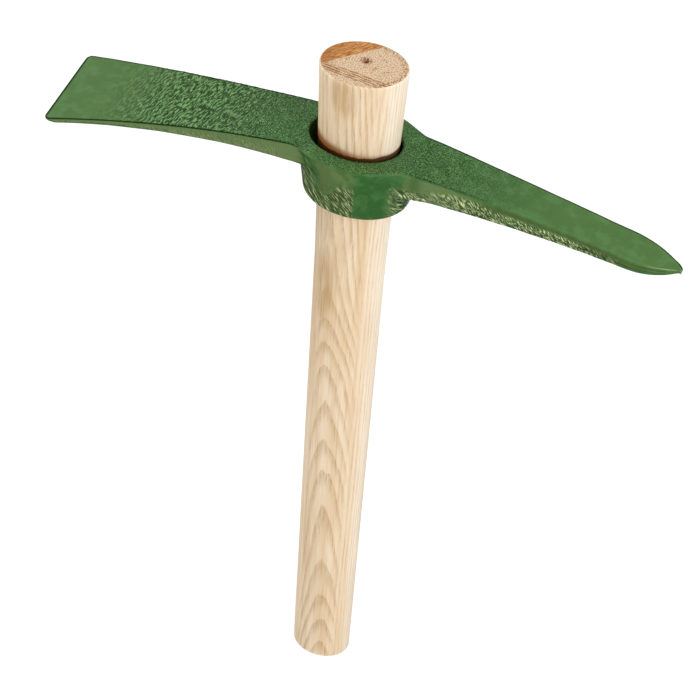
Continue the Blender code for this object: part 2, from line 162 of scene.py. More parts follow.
def linear_rgba(hex_colour: str) -> tuple[float, float, float, float]:
    """Turn an sRGB hex colour into linear RGBA.

    Args:
        hex_colour: Colour such as "#a0b0c0".

    Returns:
        Linear red, green and blue, and an alpha of 1.
    """
    channels = [int(hex_colour[start : start + 2], 16) / 255.0 for start in (1, 3, 5)]
    linear = [c / 12.92 if c <= 0.04045 else ((c + 0.055) / 1.055) ** 2.4 for c in channels]
    return (linear[0], linear[1], linear[2], 1.0)


def per_mm(*sizes_mm: float) -> tuple[float, ...]:
    """Turn a pattern's sizes along X, Y and Z into its scale. Along an infinite size it stays the same."""
    return tuple(1.0 / size for size in sizes_mm)


class Layer(Enum):
    """Numbers from 0 to 1 that the meshes store at each vertex for the materials to read."""

    RELIEF = "relief"
    RIPPLED = "rippled"
    PEBBLED = "pebbled"
    STREAKED = "streaked"
    # Dark at sharp edges, partly thin enamel and partly painted shade, and painted shade in the eye and under
    # the arms.
    EDGE = "edge"
    # Painted reflection that lightens the arms' upright sides.
    FLANK_SHEEN = "flank"
    SHADE = "shade"
    SAWN = "sawn"


class Step(Enum):
    """Steps of a material: Blender's node, its settings, its inputs in order, its result and its values."""

    ADD = ("Math", {"operation": "ADD"})
    SUBTRACT = ("Math", {"operation": "SUBTRACT"})
    MULTIPLY = ("Math", {"operation": "MULTIPLY"})
    DIVIDE = ("Math", {"operation": "DIVIDE"})
    MULTIPLY_ADD = ("Math", {"operation": "MULTIPLY_ADD"})
    ABSOLUTE = ("Math", {"operation": "ABSOLUTE"})
    MINIMUM = ("Math", {"operation": "MINIMUM"})
    MAXIMUM = ("Math", {"operation": "MAXIMUM"})
    SQRT = ("Math", {"operation": "SQRT"})
    FRACT = ("Math", {"operation": "FRACT"})
    FLOOR = ("Math", {"operation": "FLOOR"})
    PINGPONG = ("Math", {"operation": "PINGPONG"})
    STRETCH = ("VectorMath", {"operation": "MULTIPLY"})
    OFFSET = ("VectorMath", {"operation": "SUBTRACT"})
    ALONG = ("VectorMath", {"operation": "DOT_PRODUCT"}, (0, 1), "Value")
    LENGTH = ("VectorMath", {"operation": "LENGTH"}, (0,), "Value")
    VECTOR = ("CombineXYZ", {})
    OWN_PLACE = ("TexCoord", {}, (), "Object")
    LAYER = ("Attribute", {}, (), "Fac")
    GRAIN = (
        "TexNoise", {}, ("Vector", "Detail", "Roughness"), 0, {"Scale": 1.0, "Detail": 3.0, "Roughness": 0.55}
    )
    EASE = (
        "MapRange",
        {"interpolation_type": "SMOOTHSTEP"},
        ("Value", "From Min", "From Max", "To Min", "To Max"),
    )
    BLEND = ("Mix", {"data_type": "RGBA"}, (0, 6, 7), 2)
    BUMP = ("Bump", {}, ("Height", "Distance", "Strength"))
    GLOSSY = (
        "BsdfPrincipled",
        {},
        ("Base Color", "Roughness", "Normal", "IOR", "Specular IOR Level", "Specular Tint"),
    )
    MATT = ("BsdfDiffuse", {}, ("Color", "Normal"))
    GLOW = ("Emission", {}, ("Color", "Strength"))
    TOGETHER = ("AddShader", {})
    EITHER = ("MixShader", {})
    CAMERA_RAY = ("LightPath", {}, (), "Is Camera Ray")
    GLOSSY_RAY = ("LightPath", {}, (), "Is Glossy Ray")
    TRANSMISSION_RAY = ("LightPath", {}, (), "Is Transmission Ray")
    SURFACE = ("OutputMaterial", {}, ("Surface",))
    BACKGROUND = ("Background", {}, ("Color", "Strength"))
    SURROUNDINGS = ("OutputWorld", {}, ("Surface",))

    def __init__(
        self,
        kind: str,
        settings: dict[str, str],
        inputs: tuple[Union[str, int], ...] = (0, 1, 2),
        result: Union[str, int] = 0,
        values: Optional[dict[str, float]] = None,
    ) -> None:
        """Name what a step is made of.

        Args:
            kind: Blender's node type, without its prefix.
            settings: Attribute names and values.
            inputs: Names or numbers of the inputs, in the order in which they are given.
            result: Name or number of the output that is read.
            values: Values of inputs that differ from Blender's own.
        """
        self.kind = kind
        self.settings = settings
        self.inputs = inputs
        self.result = result
        self.values = values or {}


class NodeGraph:
    """A material's or world's node tree, which steps are added to."""

    def __init__(self, tree: bpy.types.NodeTree) -> None:
        """Empty the tree and keep it."""
        self.tree = tree
        tree.nodes.clear()

    def add(self, step: Step, *inputs: Value, **settings: Union[str, bool]) -> Socket:
        """Add a node with its settings, values and links.

        Args:
            step: What the node does.
            inputs: Numbers, vectors, hex colours or sockets to link from, in the step's order.
            settings: More attributes of the node.

        Returns:
            The socket of the node's result, or of its input where it ends the tree.
        """
        node = self.tree.nodes.new("ShaderNode" + step.kind)
        for name, value in {**step.settings, **settings}.items():
            setattr(node, name, value)
        for name, value in {**step.values, **dict(zip(step.inputs, inputs))}.items():
            if isinstance(value, Socket):
                self.tree.links.new(value, node.inputs[name])
            else:
                node.inputs[name].default_value = linear_rgba(value) if isinstance(value, str) else value
        return node.outputs[step.result] if node.outputs else node.inputs[0]

    def millimetres(self) -> Socket:
        """Give the object's own coordinates in millimetres."""
        return self.add(Step.STRETCH, self.add(Step.OWN_PLACE), (PER_MM, PER_MM, PER_MM))


def new_material(name: str) -> tuple[bpy.types.Material, NodeGraph]:
    """Make an empty node material.

    Args:
        name: The material's name.

    Returns:
        The material and its node graph.
    """
    material = bpy.data.materials.new(name)
    material.use_nodes = True
    return material, NodeGraph(material.node_tree)


@dataclass(frozen=True)
class SkinPattern:
    """One pattern of the forged skin: how deep it is, and how much painted shade its hollows and painted
    highlight its ridges get.

    A window holds the pattern's levels at which a change starts and at which it is full. The floor keeps the
    deepest spots and the ceiling the highest ones from changing.
    """

    layer: Layer
    depth_mm: float
    hollows: float
    ridges: float
    ridge_highlight: str
    hollow_window: Pair = (0.5, 0.46)
    ridge_window: Pair = (0.54, 0.575)
    floor: Pair = (-1.0, -0.5)
    ceiling: Pair = (0.69, 0.62)


@dataclass(frozen=True)
class SprayedGreenEnamel:
    """Green alkyd enamel sprayed thinly over shot-cleaned forged steel.

    To the eye it is a deep leaf green with a wet gloss that breaks up into small warm glints on the forge
    scale: round pebbles where the dies pressed it, and slanting streaks where the steel was drawn out. The
    glints are partly the gloss and partly painted highlights in the colour of the ridges. The high spots and
    the arms' flanks are lighter and yellower, as painted highlight on the high spots and painted reflection
    on the flanks, and the hollows are darker as painted shade. Sharp edges are darker partly where the enamel
    pulls back and partly as painted shade, and the eye's wall and the arms' undersides get painted shade.
    """

    deep: str = "#356530"
    # Painted highlight on high spots, and painted shade in the hollows, over the wrinkled skin and in the
    # pick's shade band.
    ridge_highlight: str = "#90bf7a"
    hollow_shade: str = "#0c2a11"
    blade: str = "#4c7239"
    # Painted reflection that lightens the arms' upright sides and the collar's lower end towards the pick.
    flank: str = "#577849"
    haze: str = "#5a8a50"
    # Dark at sharp edges, partly thin enamel and partly painted shade; also painted shade on the eye's wall
    # and under the arms.
    edge: str = "#16240f"
    gloss_tint: str = "#fff6d0"

    refraction: float = 1.5
    roughness: float = 0.17
    roughness_on_scale: float = 0.32
    roughness_from_grit: Pair = (-0.03, 0.05)
    roughness_at_edges: float = 0.4
    gloss: float = 0.5
    gloss_lost_on_scale: float = 0.22
    gloss_lost_at_edges: float = 0.45

    # Each pattern's ridges get a painted highlight and its hollows painted shade; the streaks' pale colour is
    # a painted glint.
    wrinkled: SkinPattern = SkinPattern(
        Layer.RIPPLED, depth_mm=0.3, hollows=0.9, ridges=0.7, ridge_highlight="#90bf7a", floor=(0.3, 0.38)
    )
    pebbled: SkinPattern = SkinPattern(
        Layer.PEBBLED, depth_mm=0.2, hollows=0.85, ridges=0.36, ridge_highlight="#90bf7a", floor=(0.0, 0.1)
    )
    streaked: SkinPattern = SkinPattern(
        Layer.STREAKED,
        depth_mm=0.25,
        hollows=0.72,
        ridges=0.85,
        ridge_highlight="#e6f3b2",
        hollow_window=(0.5, 0.44),
        ridge_window=(0.56, 0.605),
        ceiling=(2.0, 1.5),
    )

    wrinkle_across_mm: float = 0.8
    wrinkle_along_mm: float = 3.0
    wrinkle_waver_mm: float = 3.0
    wrinkle_heading: Pair = (0.27, 0.96)
    streak_across_mm: float = 0.4
    streak_on_collar_mm: float = 5.0
    streak_on_arms_mm: float = 2.7
    streak_waver_mm: float = 1.6
    streak_heading: Pair = (0.6, -0.8)
    round_wall: Pair = (0.95, -0.32)
    collar_sparing: float = 0.02
    arms_from_mm: Pair = (22.0, 28.0)
    waver_mm: float = 6.0
    pebble_mm: float = 0.55
    # Shot leaves pits of 0.1 to 0.2 mm, which are too fine to show, so they are drawn as coarse as this.
    grit_mm: float = 0.5
    grit_depth_mm: float = 0.02
    patch_mm: float = 14.0
    worn_mm: float = 6.0
    worn_window: Pair = (0.42, 0.66)
    worn_share: float = 0.4
    blade_tone_from_mm: Pair = (35.0, 115.0)
    # Painted highlight on the relief's high spots; painted shade in its low spots, over the wrinkled skin and
    # in the shade band.
    highlight_on_high_spots: Triple = (0.1, 0.8, 0.35)
    shade_in_low_spots: Triple = (0.0, -0.6, 0.4)
    wrinkle_shade: float = 0.12
    dimmed_by_shade: float = 0.42
    # Painted darkening at sharp edges, partly for thin enamel and partly as shade, and painted shade in the
    # eye and under the arms.
    edge_and_shade_darkening: float = 0.9

    def streaks(self, graph: NodeGraph, where: Socket) -> Socket:
        """Draw the slanting streaks, which waver and end like torn threads.

        Args:
            graph: The material's node graph.
            where: Position in millimetres.

        Returns:
            Height within the streaks, from 0 to 1.
        """
        add = graph.add
        level, rise = self.streak_heading
        waver = add(Step.GRAIN, add(Step.STRETCH, where, per_mm(*[self.waver_mm] * 3)), 1.0)
        waver = add(Step.MULTIPLY, waver, self.streak_waver_mm)
        side = add(Step.ALONG, where, AXIS_Y)
        along_head = add(Step.ALONG, where, AXIS_X)
        height = add(Step.ALONG, where, AXIS_Z)
        around = add(Step.MULTIPLY, along_head, self.round_wall[0])
        around = add(Step.MULTIPLY_ADD, add(Step.ABSOLUTE, side), self.round_wall[1], around)
        along = add(Step.MULTIPLY_ADD, height, rise, add(Step.MULTIPLY, around, level))
        across = add(Step.MULTIPLY_ADD, height, level, add(Step.MULTIPLY_ADD, around, -rise, waver))
        across = add(Step.DIVIDE, across, self.streak_across_mm)
        levels = []
        for length in (self.streak_on_collar_mm, self.streak_on_arms_mm):
            sideways = add(Step.DIVIDE, side, 2.0 * length)
            threads = add(Step.VECTOR, add(Step.DIVIDE, along, length), across, sideways)
            levels.append(add(Step.GRAIN, threads, 1.0, 0.6))
        on_arm = add(Step.EASE, add(Step.ABSOLUTE, along_head), *self.arms_from_mm)
        collar = add(Step.SUBTRACT, levels[0], self.collar_sparing)
        return add(Step.MULTIPLY_ADD, on_arm, add(Step.SUBTRACT, levels[1], collar), collar)

    def wrinkles(self, graph: NodeGraph, where: Socket) -> Socket:
        """Draw the fine wrinkles that the hammer left across the adze.

        Args:
            graph: The material's node graph.
            where: Position in millimetres.

        Returns:
            Height within the wrinkles, from 0 to 1.
        """
        add = graph.add
        head, side = self.wrinkle_heading
        waver = add(Step.GRAIN, add(Step.STRETCH, where, per_mm(*[self.waver_mm] * 3)), 1.0)
        across = add(Step.ALONG, where, (side, -head, 0.0))
        across = add(Step.MULTIPLY_ADD, waver, self.wrinkle_waver_mm, across)
        across = add(Step.DIVIDE, across, self.wrinkle_across_mm)
        along = add(Step.DIVIDE, add(Step.ALONG, where, (head, side, 0.0)), self.wrinkle_along_mm)
        return add(Step.GRAIN, add(Step.VECTOR, along, across), 1.0, 0.6)

    def make(self) -> bpy.types.Material:
        """Build the enamel's material.

        Returns:
            The finished material.
        """
        material, graph = new_material("sprayed_green_enamel")
        add = graph.add
        where = graph.millimetres()
        shares = {
            layer: add(Step.LAYER, attribute_name=layer.value) for layer in Layer if layer is not Layer.SAWN
        }
        patches, worn, grit, pebble = (
            add(Step.GRAIN, add(Step.STRETCH, where, per_mm(size, size, size)), detail, roughness)
            for size, detail, roughness in (
                (self.patch_mm, 2.0, 0.55),
                (self.worn_mm, 3.0, 0.55),
                (self.grit_mm, 2.0, 0.6),
                (self.pebble_mm, 1.5, 0.5),
            )
        )
        relief = add(Step.MULTIPLY_ADD, shares[Layer.RELIEF], 2.0, -1.0)
        reach = add(Step.ABSOLUTE, add(Step.ALONG, where, AXIS_X))
        patchy = add(Step.EASE, patches, 0.25, 0.75, 0.6, 1.0)
        to_blade = add(Step.MULTIPLY, add(Step.EASE, reach, *self.blade_tone_from_mm), patchy)
        colour = add(Step.BLEND, to_blade, self.deep, self.blade)
        # Random haze, painted reflection on the upright sides, painted highlight on high spots and painted
        # shade in low spots and wrinkles.
        for share, tone in (
            (add(Step.EASE, worn, *self.worn_window, 0.0, self.worn_share), self.haze),
            (shares[Layer.FLANK_SHEEN], self.flank),
            (add(Step.EASE, relief, *self.highlight_on_high_spots[:2], 0.0, self.highlight_on_high_spots[2]), self.ridge_highlight),
            (add(Step.EASE, relief, *self.shade_in_low_spots[:2], 0.0, self.shade_in_low_spots[2]), self.hollow_shade),
            (add(Step.MULTIPLY, shares[Layer.RIPPLED], self.wrinkle_shade), self.hollow_shade),
        ):
            colour = add(Step.BLEND, share, colour, tone)
        height = add(Step.MULTIPLY, grit, self.grit_depth_mm)
        for pattern, level in (
            (self.wrinkled, self.wrinkles(graph, where)),
            (self.pebbled, pebble),
            (self.streaked, self.streaks(graph, where)),
        ):
            share = shares[pattern.layer]
            # Painted shade in the pattern's hollows and painted highlight on its ridges.
            sunk = add(Step.EASE, level, *pattern.hollow_window, 0.0, pattern.hollows)
            sunk = add(Step.MULTIPLY, sunk, add(Step.EASE, level, *pattern.floor))
            raised = add(Step.EASE, level, *pattern.ridge_window, 0.0, pattern.ridges)
            raised = add(Step.MULTIPLY, raised, add(Step.EASE, level, *pattern.ceiling))
            colour = add(Step.BLEND, add(Step.MULTIPLY, share, sunk), colour, self.hollow_shade)
            colour = add(Step.BLEND, add(Step.MULTIPLY, share, raised), colour, pattern.ridge_highlight)
            height = add(Step.MULTIPLY_ADD, add(Step.MULTIPLY, share, level), pattern.depth_mm, height)
        shade = add(Step.MULTIPLY, shares[Layer.SHADE], self.dimmed_by_shade)
        colour = add(Step.BLEND, shade, colour, self.hollow_shade)
        # Dark at sharp edges, partly thin enamel and partly painted shade, and painted shade on the eye's
        # wall and the arms' undersides.
        edge = shares[Layer.EDGE]
        colour = add(Step.BLEND, add(Step.MULTIPLY, edge, self.edge_and_shade_darkening), colour, self.edge)
        bumpy = add(Step.MAXIMUM, shares[Layer.PEBBLED], shares[Layer.RIPPLED])
        textured = add(Step.MAXIMUM, bumpy, shares[Layer.STREAKED])
        rough = add(Step.EASE, textured, 0.0, 0.5, self.roughness, self.roughness_on_scale)
        rough = add(Step.ADD, rough, add(Step.EASE, grit, 0.3, 0.7, *self.roughness_from_grit))
        rough = add(Step.MULTIPLY_ADD, edge, self.roughness_at_edges, rough)
        gloss = add(Step.MULTIPLY_ADD, bumpy, -self.gloss_lost_on_scale, self.gloss)
        gloss = add(Step.MULTIPLY_ADD, edge, -self.gloss_lost_at_edges, gloss, use_clamp=True)
        bump = add(Step.BUMP, height, MM, 1.0)
        glossy = add(Step.GLOSSY, colour, rough, bump, self.refraction, gloss, self.gloss_tint)
        add(Step.SURFACE, add(Step.EITHER, edge, glossy, add(Step.MATT, colour, bump)))
        return material


@dataclass(frozen=True)
class BrownPatch:
    """A browner patch of the wood: its centre, its reach along each axis and how brown it is."""

    centre_mm: Triple
    reach_mm: Triple
    share: float


@dataclass(frozen=True)
class TurnedAsh:
    """Pale European ash, turned, sanded and sealed, with its end left as sawn.

    To the eye it is cream with tan growth rings. They stand as pointed arches where the rings lie flat to
    the surface and as fine straight lines where they meet it edge on. Each ring starts sharply with a band of
    open pores, drawn as short dashes, and fades into dense pale wood.
    """

    pale: str = "#f8e3c6"
    cream: str = "#ecd0aa"
    # Painted light: the handle's right side is painted lighter.
    lit_side_pale: str = "#fdf3e4"
    tan: str = "#c9a36e"
    pore: str = "#aa8148"
    sawn_pale: str = "#e9ccad"
    sawn_grey: str = "#ac8c62"
    sawn_dark: str = "#94601a"
    heart: str = "#a35a22"
    heart_pale: str = "#d29f58"
    # Its colour also paints shade inside the lathe pit.
    bruise_and_pit_shade: str = "#84420f"
    # Orange-brown staining above the collar's rim, partly real and partly painted shade; next, the painted
    # contact shadow in the seam.
    seat_stain_and_shade: str = "#a4601c"
    joint_shadow: str = "#381a06"

    refraction: float = 1.45
    roughness: Pair = (0.46, 0.6)
    bump_mm: float = 0.1
    bump_strength: float = 0.35

    ring_mm: float = 1.5
    pith_at_butt_mm: Pair = (-7.4, 55.5)
    pith_drift: Pair = (0.0644, -0.0767)
    ring_sway: Triple = (20.0, 60.0, 1.2)
    ring_ripple: Triple = (2.6, 22.0, 0.6)
    arch_lean_at_butt: float = -0.318
    arch_lean_per_mm: float = 0.00308
    arch_lean_limit: float = 0.45
    arch_sharpness: float = 0.1
    arch_rounding_mm2: float = 5.0
    arch_crowding_mm: float = 2.1
    crowded_from_mm: Pair = (35.0, 140.0)
    crowded_to_mm: Pair = (262.0, 195.0)
    first_ring: float = 0.03
    line_sway: Triple = (5.0, 120.0, 2.4)
    line_heading: Triple = (0.1, 0.99, 0.0)
    line_share: float = 0.6
    to_right: Triple = (0.95, 0.31, 0.0)
    lines_at_right_mm: Pair = (2.0, 9.0)
    lines_at_left_mm: Pair = (-10.5, -13.5)
    # Where and how strongly the right side is painted lighter, as painted light.
    lit_right_mm: Pair = (7.5, 13.5)
    lit_right_share: float = 0.55
    # Ash pores are 0.2 to 0.3 mm across and its fibres finer still, so both are drawn as coarse as they show.
    pore_mm: Pair = (0.35, 5.0)
    pore_share: float = 0.6
    fibre_mm: Pair = (0.6, 28.0)
    grain_window: Pair = (0.3, 0.7)
    cloud_mm: Pair = (4.5, 60.0)
    brown_patches: tuple[BrownPatch, ...] = (
        BrownPatch((-3.0, -13.5, 374.0), (6.5, 9.0, 13.0), 0.7),
        BrownPatch((-7.0, -12.0, 257.0), (6.0, 8.0, 26.0), 0.85),
    )

    speckle_mm: float = 0.6
    blotch_mm: float = 3.5
    spot_mm: float = 0.9
    heart_side: Triple = (-0.69, 0.723, 0.0)
    heart_offset_mm: float = 7.6
    heart_mark_mm: Pair = (4.0, 0.45)
    heart_mark_heading: Triple = (0.62, 0.78, 0.0)
    heart_mark_side: Triple = (0.78, -0.62, 0.0)
    dark_ring_heading: Triple = (0.99, -0.14, 0.0)
    dark_ring_side: Triple = (0.14, 0.99, 0.0)
    dark_ring_offset_mm: float = -9.0
    dark_ring_half_mm: Pair = (3.2, 1.8)
    dark_line_mm: float = 0.65
    dark_line_ray_mm: Pair = (3.6, 0.6)
    end_oval_mm: Pair = (18.6, 14.4)
    pit_centre_mm: Triple = (-0.3, 2.6, 0.0)
    pit_bruise_mm: Pair = (5.4, 4.4)
    end_height_mm: float = 383.0

    rim_height_mm: float = 341.6
    joint_above_rim_mm: float = 0.7
    stain_depth_mm: float = 33.0
    scuff_mm: Pair = (1.4, 9.0)

    def streamed(self, graph: NodeGraph, where: Socket, sizes_mm: Pair, detail: float) -> Socket:
        """Draw grain that runs along the handle.

        Args:
            graph: The material's node graph.
            where: Position in millimetres.
            sizes_mm: The grain's size across the handle and along it.
            detail: How much finer grain is added.

        Returns:
            A level from 0 to 1.
        """
        across, along = sizes_mm
        return graph.add(Step.GRAIN, graph.add(Step.STRETCH, where, per_mm(across, across, along)), detail)

    def crosscut(
        self, graph: NodeGraph, where: Socket, heading: Triple, side: Triple, sizes_mm: Pair
    ) -> Socket:
        """Draw marks on the sawn end that run one way.

        Args:
            graph: The material's node graph.
            where: Position in millimetres.
            heading: The way they run.
            side: The way across them.
            sizes_mm: Their length and width.

        Returns:
            A level from 0 to 1.
        """
        run, cross = (
            graph.add(Step.DIVIDE, graph.add(Step.ALONG, where, way), size)
            for way, size in zip((heading, side), sizes_mm)
        )
        return graph.add(Step.GRAIN, graph.add(Step.VECTOR, run, cross), 2.0, 0.6)

    def rings(self, graph: NodeGraph, where: Socket) -> Socket:
        """Count growth rings outwards from the pith, whose line drifts along the handle.

        Args:
            graph: The material's node graph.
            where: Position in millimetres.

        Returns:
            Ring number, with its whole part counting rings.
        """
        add = graph.add
        x, y, z = (add(Step.ALONG, where, axis) for axis in (AXIS_X, AXIS_Y, AXIS_Z))
        square = 0.0
        for own, pith, drift in zip((x, y), self.pith_at_butt_mm, self.pith_drift):
            away = add(Step.SUBTRACT, own, add(Step.MULTIPLY_ADD, z, drift, pith))
            square = add(Step.MULTIPLY_ADD, away, away, square)
        distance = add(Step.SQRT, square)
        lean = add(Step.MULTIPLY_ADD, z, self.arch_lean_per_mm, self.arch_lean_at_butt)
        lean = add(Step.MINIMUM, lean, self.arch_lean_limit)
        off_axis = add(Step.SUBTRACT, x, add(Step.MULTIPLY, y, lean))
        off_axis = add(Step.SQRT, add(Step.MULTIPLY_ADD, off_axis, off_axis, self.arch_rounding_mm2))
        distance = add(Step.MULTIPLY_ADD, off_axis, -self.arch_sharpness, distance)
        crowding = add(Step.EASE, z, *self.crowded_from_mm)
        crowding = add(Step.MULTIPLY, crowding, add(Step.EASE, z, *self.crowded_to_mm))
        distance = add(Step.MULTIPLY_ADD, crowding, self.arch_crowding_mm, distance)
        for across, along, reach in (self.ring_sway, self.ring_ripple):
            sway = self.streamed(graph, where, (across, along), 2.0)
            distance = add(Step.ADD, distance, add(Step.MULTIPLY_ADD, sway, reach, -0.5 * reach))
        return add(Step.SUBTRACT, add(Step.DIVIDE, distance, self.ring_mm), self.first_ring)

    def edge_on_rings(self, graph: NodeGraph, where: Socket) -> Socket:
        """Count growth rings where they meet the surface edge on, as lines that run along the handle.

        Args:
            graph: The material's node graph.
            where: Position in millimetres.

        Returns:
            Ring number, with its whole part counting rings.
        """
        across, along, reach = self.line_sway
        sway = self.streamed(graph, where, (across, along), 1.0)
        heading = graph.add(Step.ALONG, where, self.line_heading)
        return graph.add(Step.DIVIDE, graph.add(Step.MULTIPLY_ADD, sway, reach, heading), self.ring_mm)

    def porous_band(self, graph: NodeGraph, ring: Socket) -> Socket:
        """Give each ring its band of open pores, stronger in some years than in others.

        Args:
            graph: The material's node graph.
            ring: Ring number.

        Returns:
            Strength of the band, from 0 to 1.
        """
        add = graph.add
        phase = add(Step.FRACT, ring)
        year = add(Step.GRAIN, add(Step.VECTOR, add(Step.FLOOR, ring)), 0.0)
        band = add(Step.MULTIPLY, add(Step.EASE, phase, 0.0, 0.1), add(Step.EASE, phase, 0.15, 0.7, 1.0, 0.0))
        return add(Step.MULTIPLY, band, add(Step.EASE, year, 0.3, 0.7, 0.2, 0.9))

    def make(self) -> bpy.types.Material:
        """Build the wood's material.

        Returns:
            The finished material.
        """
        material, graph = new_material("turned_ash")
        add = graph.add
        where = graph.millimetres()
        arches = self.porous_band(graph, self.rings(graph, where))
        lines = self.porous_band(graph, self.edge_on_rings(graph, where))
        lines = add(Step.MULTIPLY, lines, self.line_share)
        off_middle = add(Step.ALONG, where, self.to_right)
        at_right = add(Step.EASE, off_middle, *self.lines_at_right_mm)
        edge_on = add(Step.MAXIMUM, at_right, add(Step.EASE, off_middle, *self.lines_at_left_mm))
        porous = add(Step.MULTIPLY_ADD, edge_on, add(Step.SUBTRACT, lines, arches), arches)
        fibre = self.streamed(graph, where, self.fibre_mm, 3.0)
        dashes = self.streamed(graph, where, self.pore_mm, 2.0)
        cloud = self.streamed(graph, where, self.cloud_mm, 2.0)
        colour = add(Step.BLEND, add(Step.EASE, cloud, *self.grain_window), self.pale, self.cream)
        # Painted light: the right side is painted lighter.
        painted_light_right = add(Step.EASE, off_middle, *self.lit_right_mm, 0.0, self.lit_right_share)
        colour = add(Step.BLEND, painted_light_right, colour, self.lit_side_pale)
        band = add(Step.MULTIPLY, porous, add(Step.EASE, fibre, *self.grain_window, 0.4, 1.0))
        colour = add(Step.BLEND, band, colour, self.tan)
        pores = add(Step.MULTIPLY, porous, add(Step.EASE, dashes, 0.5, 0.64))
        colour = add(Step.BLEND, add(Step.MULTIPLY, pores, self.pore_share), colour, self.pore)
        threads = add(Step.EASE, fibre, 0.5, 0.75, 0.0, 0.3)
        colour = add(Step.BLEND, threads, colour, self.tan, blend_type="MULTIPLY")
        for patch in self.brown_patches:
            offset = add(Step.OFFSET, where, patch.centre_mm)
            away = add(Step.LENGTH, add(Step.STRETCH, offset, per_mm(*patch.reach_mm)))
            away = add(Step.ADD, away, add(Step.MULTIPLY_ADD, cloud, 1.2, -0.6))
            brown = add(Step.EASE, fibre, 0.35, 0.6, 0.4, patch.share)
            brown = add(Step.MULTIPLY, add(Step.EASE, away, 1.1, 0.5), brown)
            colour = add(Step.BLEND, brown, colour, self.tan)
        height = add(Step.ALONG, where, AXIS_Z)
        on_end = add(Step.LAYER, attribute_name=Layer.SAWN.value)
        colour = add(Step.BLEND, on_end, colour, self.sawn_end(graph, where, height))
        colour = self.stained_seat(graph, where, height, colour)
        relief = add(Step.SUBTRACT, add(Step.MULTIPLY, fibre, 0.5), pores)
        bump = add(Step.BUMP, relief, self.bump_mm * MM, self.bump_strength)
        rough = add(Step.EASE, fibre, *self.grain_window, *self.roughness)
        add(Step.SURFACE, add(Step.GLOSSY, colour, rough, bump, self.refraction))
        return material

    def sawn_end(self, graph: NodeGraph, where: Socket, height: Socket) -> Socket:
        """Colour the sawn top: brown heartwood beyond a straight line, one dark ring, speckled pores, painted
        shade in the lathe pit.

        Args:
            graph: The material's node graph.
            where: Position in millimetres.
            height: Height in millimetres.

        Returns:
            The colour of the end.
        """
        add = graph.add
        speckle, blotch, coarse = (
            add(Step.GRAIN, add(Step.STRETCH, where, per_mm(size, size, math.inf)), detail, roughness)
            for size, detail, roughness in (
                (self.speckle_mm, 3.0, 0.7),
                (self.blotch_mm, 2.0, 0.6),
                (self.spot_mm, 1.0, 0.6),
            )
        )
        sawn = add(Step.BLEND, add(Step.EASE, speckle, 0.44, 0.6), self.sawn_pale, self.sawn_grey)
        rays = self.crosscut(graph, where, self.dark_ring_heading, self.dark_ring_side, self.dark_line_ray_mm)
        waver = add(Step.MULTIPLY_ADD, blotch, 1.2, -0.6)
        across_ring = add(Step.ADD, add(Step.ALONG, where, self.dark_ring_side), waver)
        across_ring = add(Step.SUBTRACT, across_ring, self.dark_ring_offset_mm)
        line = add(Step.EASE, add(Step.PINGPONG, across_ring, self.dark_line_mm), 0.15, 0.45)
        line = add(Step.MULTIPLY, line, add(Step.EASE, rays, 0.4, 0.5))
        in_ring = add(Step.EASE, add(Step.ABSOLUTE, across_ring), *self.dark_ring_half_mm)
        sawn = add(Step.BLEND, add(Step.MULTIPLY, in_ring, line), sawn, self.sawn_dark)
        outwards = add(Step.LENGTH, add(Step.STRETCH, where, per_mm(*self.end_oval_mm, math.inf)))
        to_right = add(Step.EASE, add(Step.ALONG, where, (1.0, 0.3, 0.0)), 2.0, 9.0)
        right_rim = add(Step.MULTIPLY, add(Step.EASE, outwards, 0.84, 0.93), to_right)
        spots = add(Step.MAXIMUM, add(Step.EASE, blotch, 0.56, 0.66), right_rim)
        spots = add(Step.MULTIPLY, spots, add(Step.EASE, coarse, 0.48, 0.56, 0.0, 0.7))
        sawn = add(Step.BLEND, spots, sawn, self.sawn_dark)
        edge = add(Step.MULTIPLY_ADD, speckle, 0.8, add(Step.ALONG, where, self.heart_side))
        in_heart = add(Step.EASE, edge, self.heart_offset_mm, self.heart_offset_mm + 0.8)
        marks = self.crosscut(graph, where, self.heart_mark_heading, self.heart_mark_side, self.heart_mark_mm)
        marks = add(Step.EASE, marks, 0.42, 0.6)
        sawn = add(Step.BLEND, in_heart, sawn, add(Step.BLEND, marks, self.heart, self.heart_pale))
        flat = add(Step.STRETCH, add(Step.OFFSET, where, self.pit_centre_mm), (1.0, 1.25, 0.0))
        from_pit = add(Step.MULTIPLY_ADD, blotch, 4.0, add(Step.LENGTH, flat))
        bruise_and_pit_shade = add(Step.EASE, from_pit, *self.pit_bruise_mm)
        bruise_and_pit_shade = add(Step.MULTIPLY, bruise_and_pit_shade, add(Step.EASE, speckle, 0.4, 0.54))
        # Painted shade inside the lathe pit, in the same colour as the bruised wood round it.
        pit_shade = add(Step.EASE, height, self.end_height_mm - 0.4, self.end_height_mm - 1.4)
        bruise_and_pit_shade = add(Step.MULTIPLY, add(Step.MAXIMUM, bruise_and_pit_shade, pit_shade), 0.85)
        return add(Step.BLEND, bruise_and_pit_shade, sawn, self.bruise_and_pit_shade)

    def stained_seat(self, graph: NodeGraph, where: Socket, height: Socket, bare: Socket) -> Socket:
        """Colour the wood that the collar presses: stained orange brown and scuffed, partly as painted shade,
        with a painted contact shadow in the joint.

        Args:
            graph: The material's node graph.
            where: Position in millimetres.
            height: Height in millimetres.
            bare: Colour of the clean wood.

        Returns:
            The colour with its stained ring.
        """
        add = graph.add
        rim = self.rim_height_mm
        x = add(Step.ALONG, where, AXIS_X)
        waver = add(Step.GRAIN, add(Step.STRETCH, where, per_mm(4.0, 4.0, 4.0)), 2.0)
        above = add(Step.SUBTRACT, height, rim + self.joint_above_rim_mm)
        above = add(Step.MULTIPLY_ADD, waver, -1.6, above)
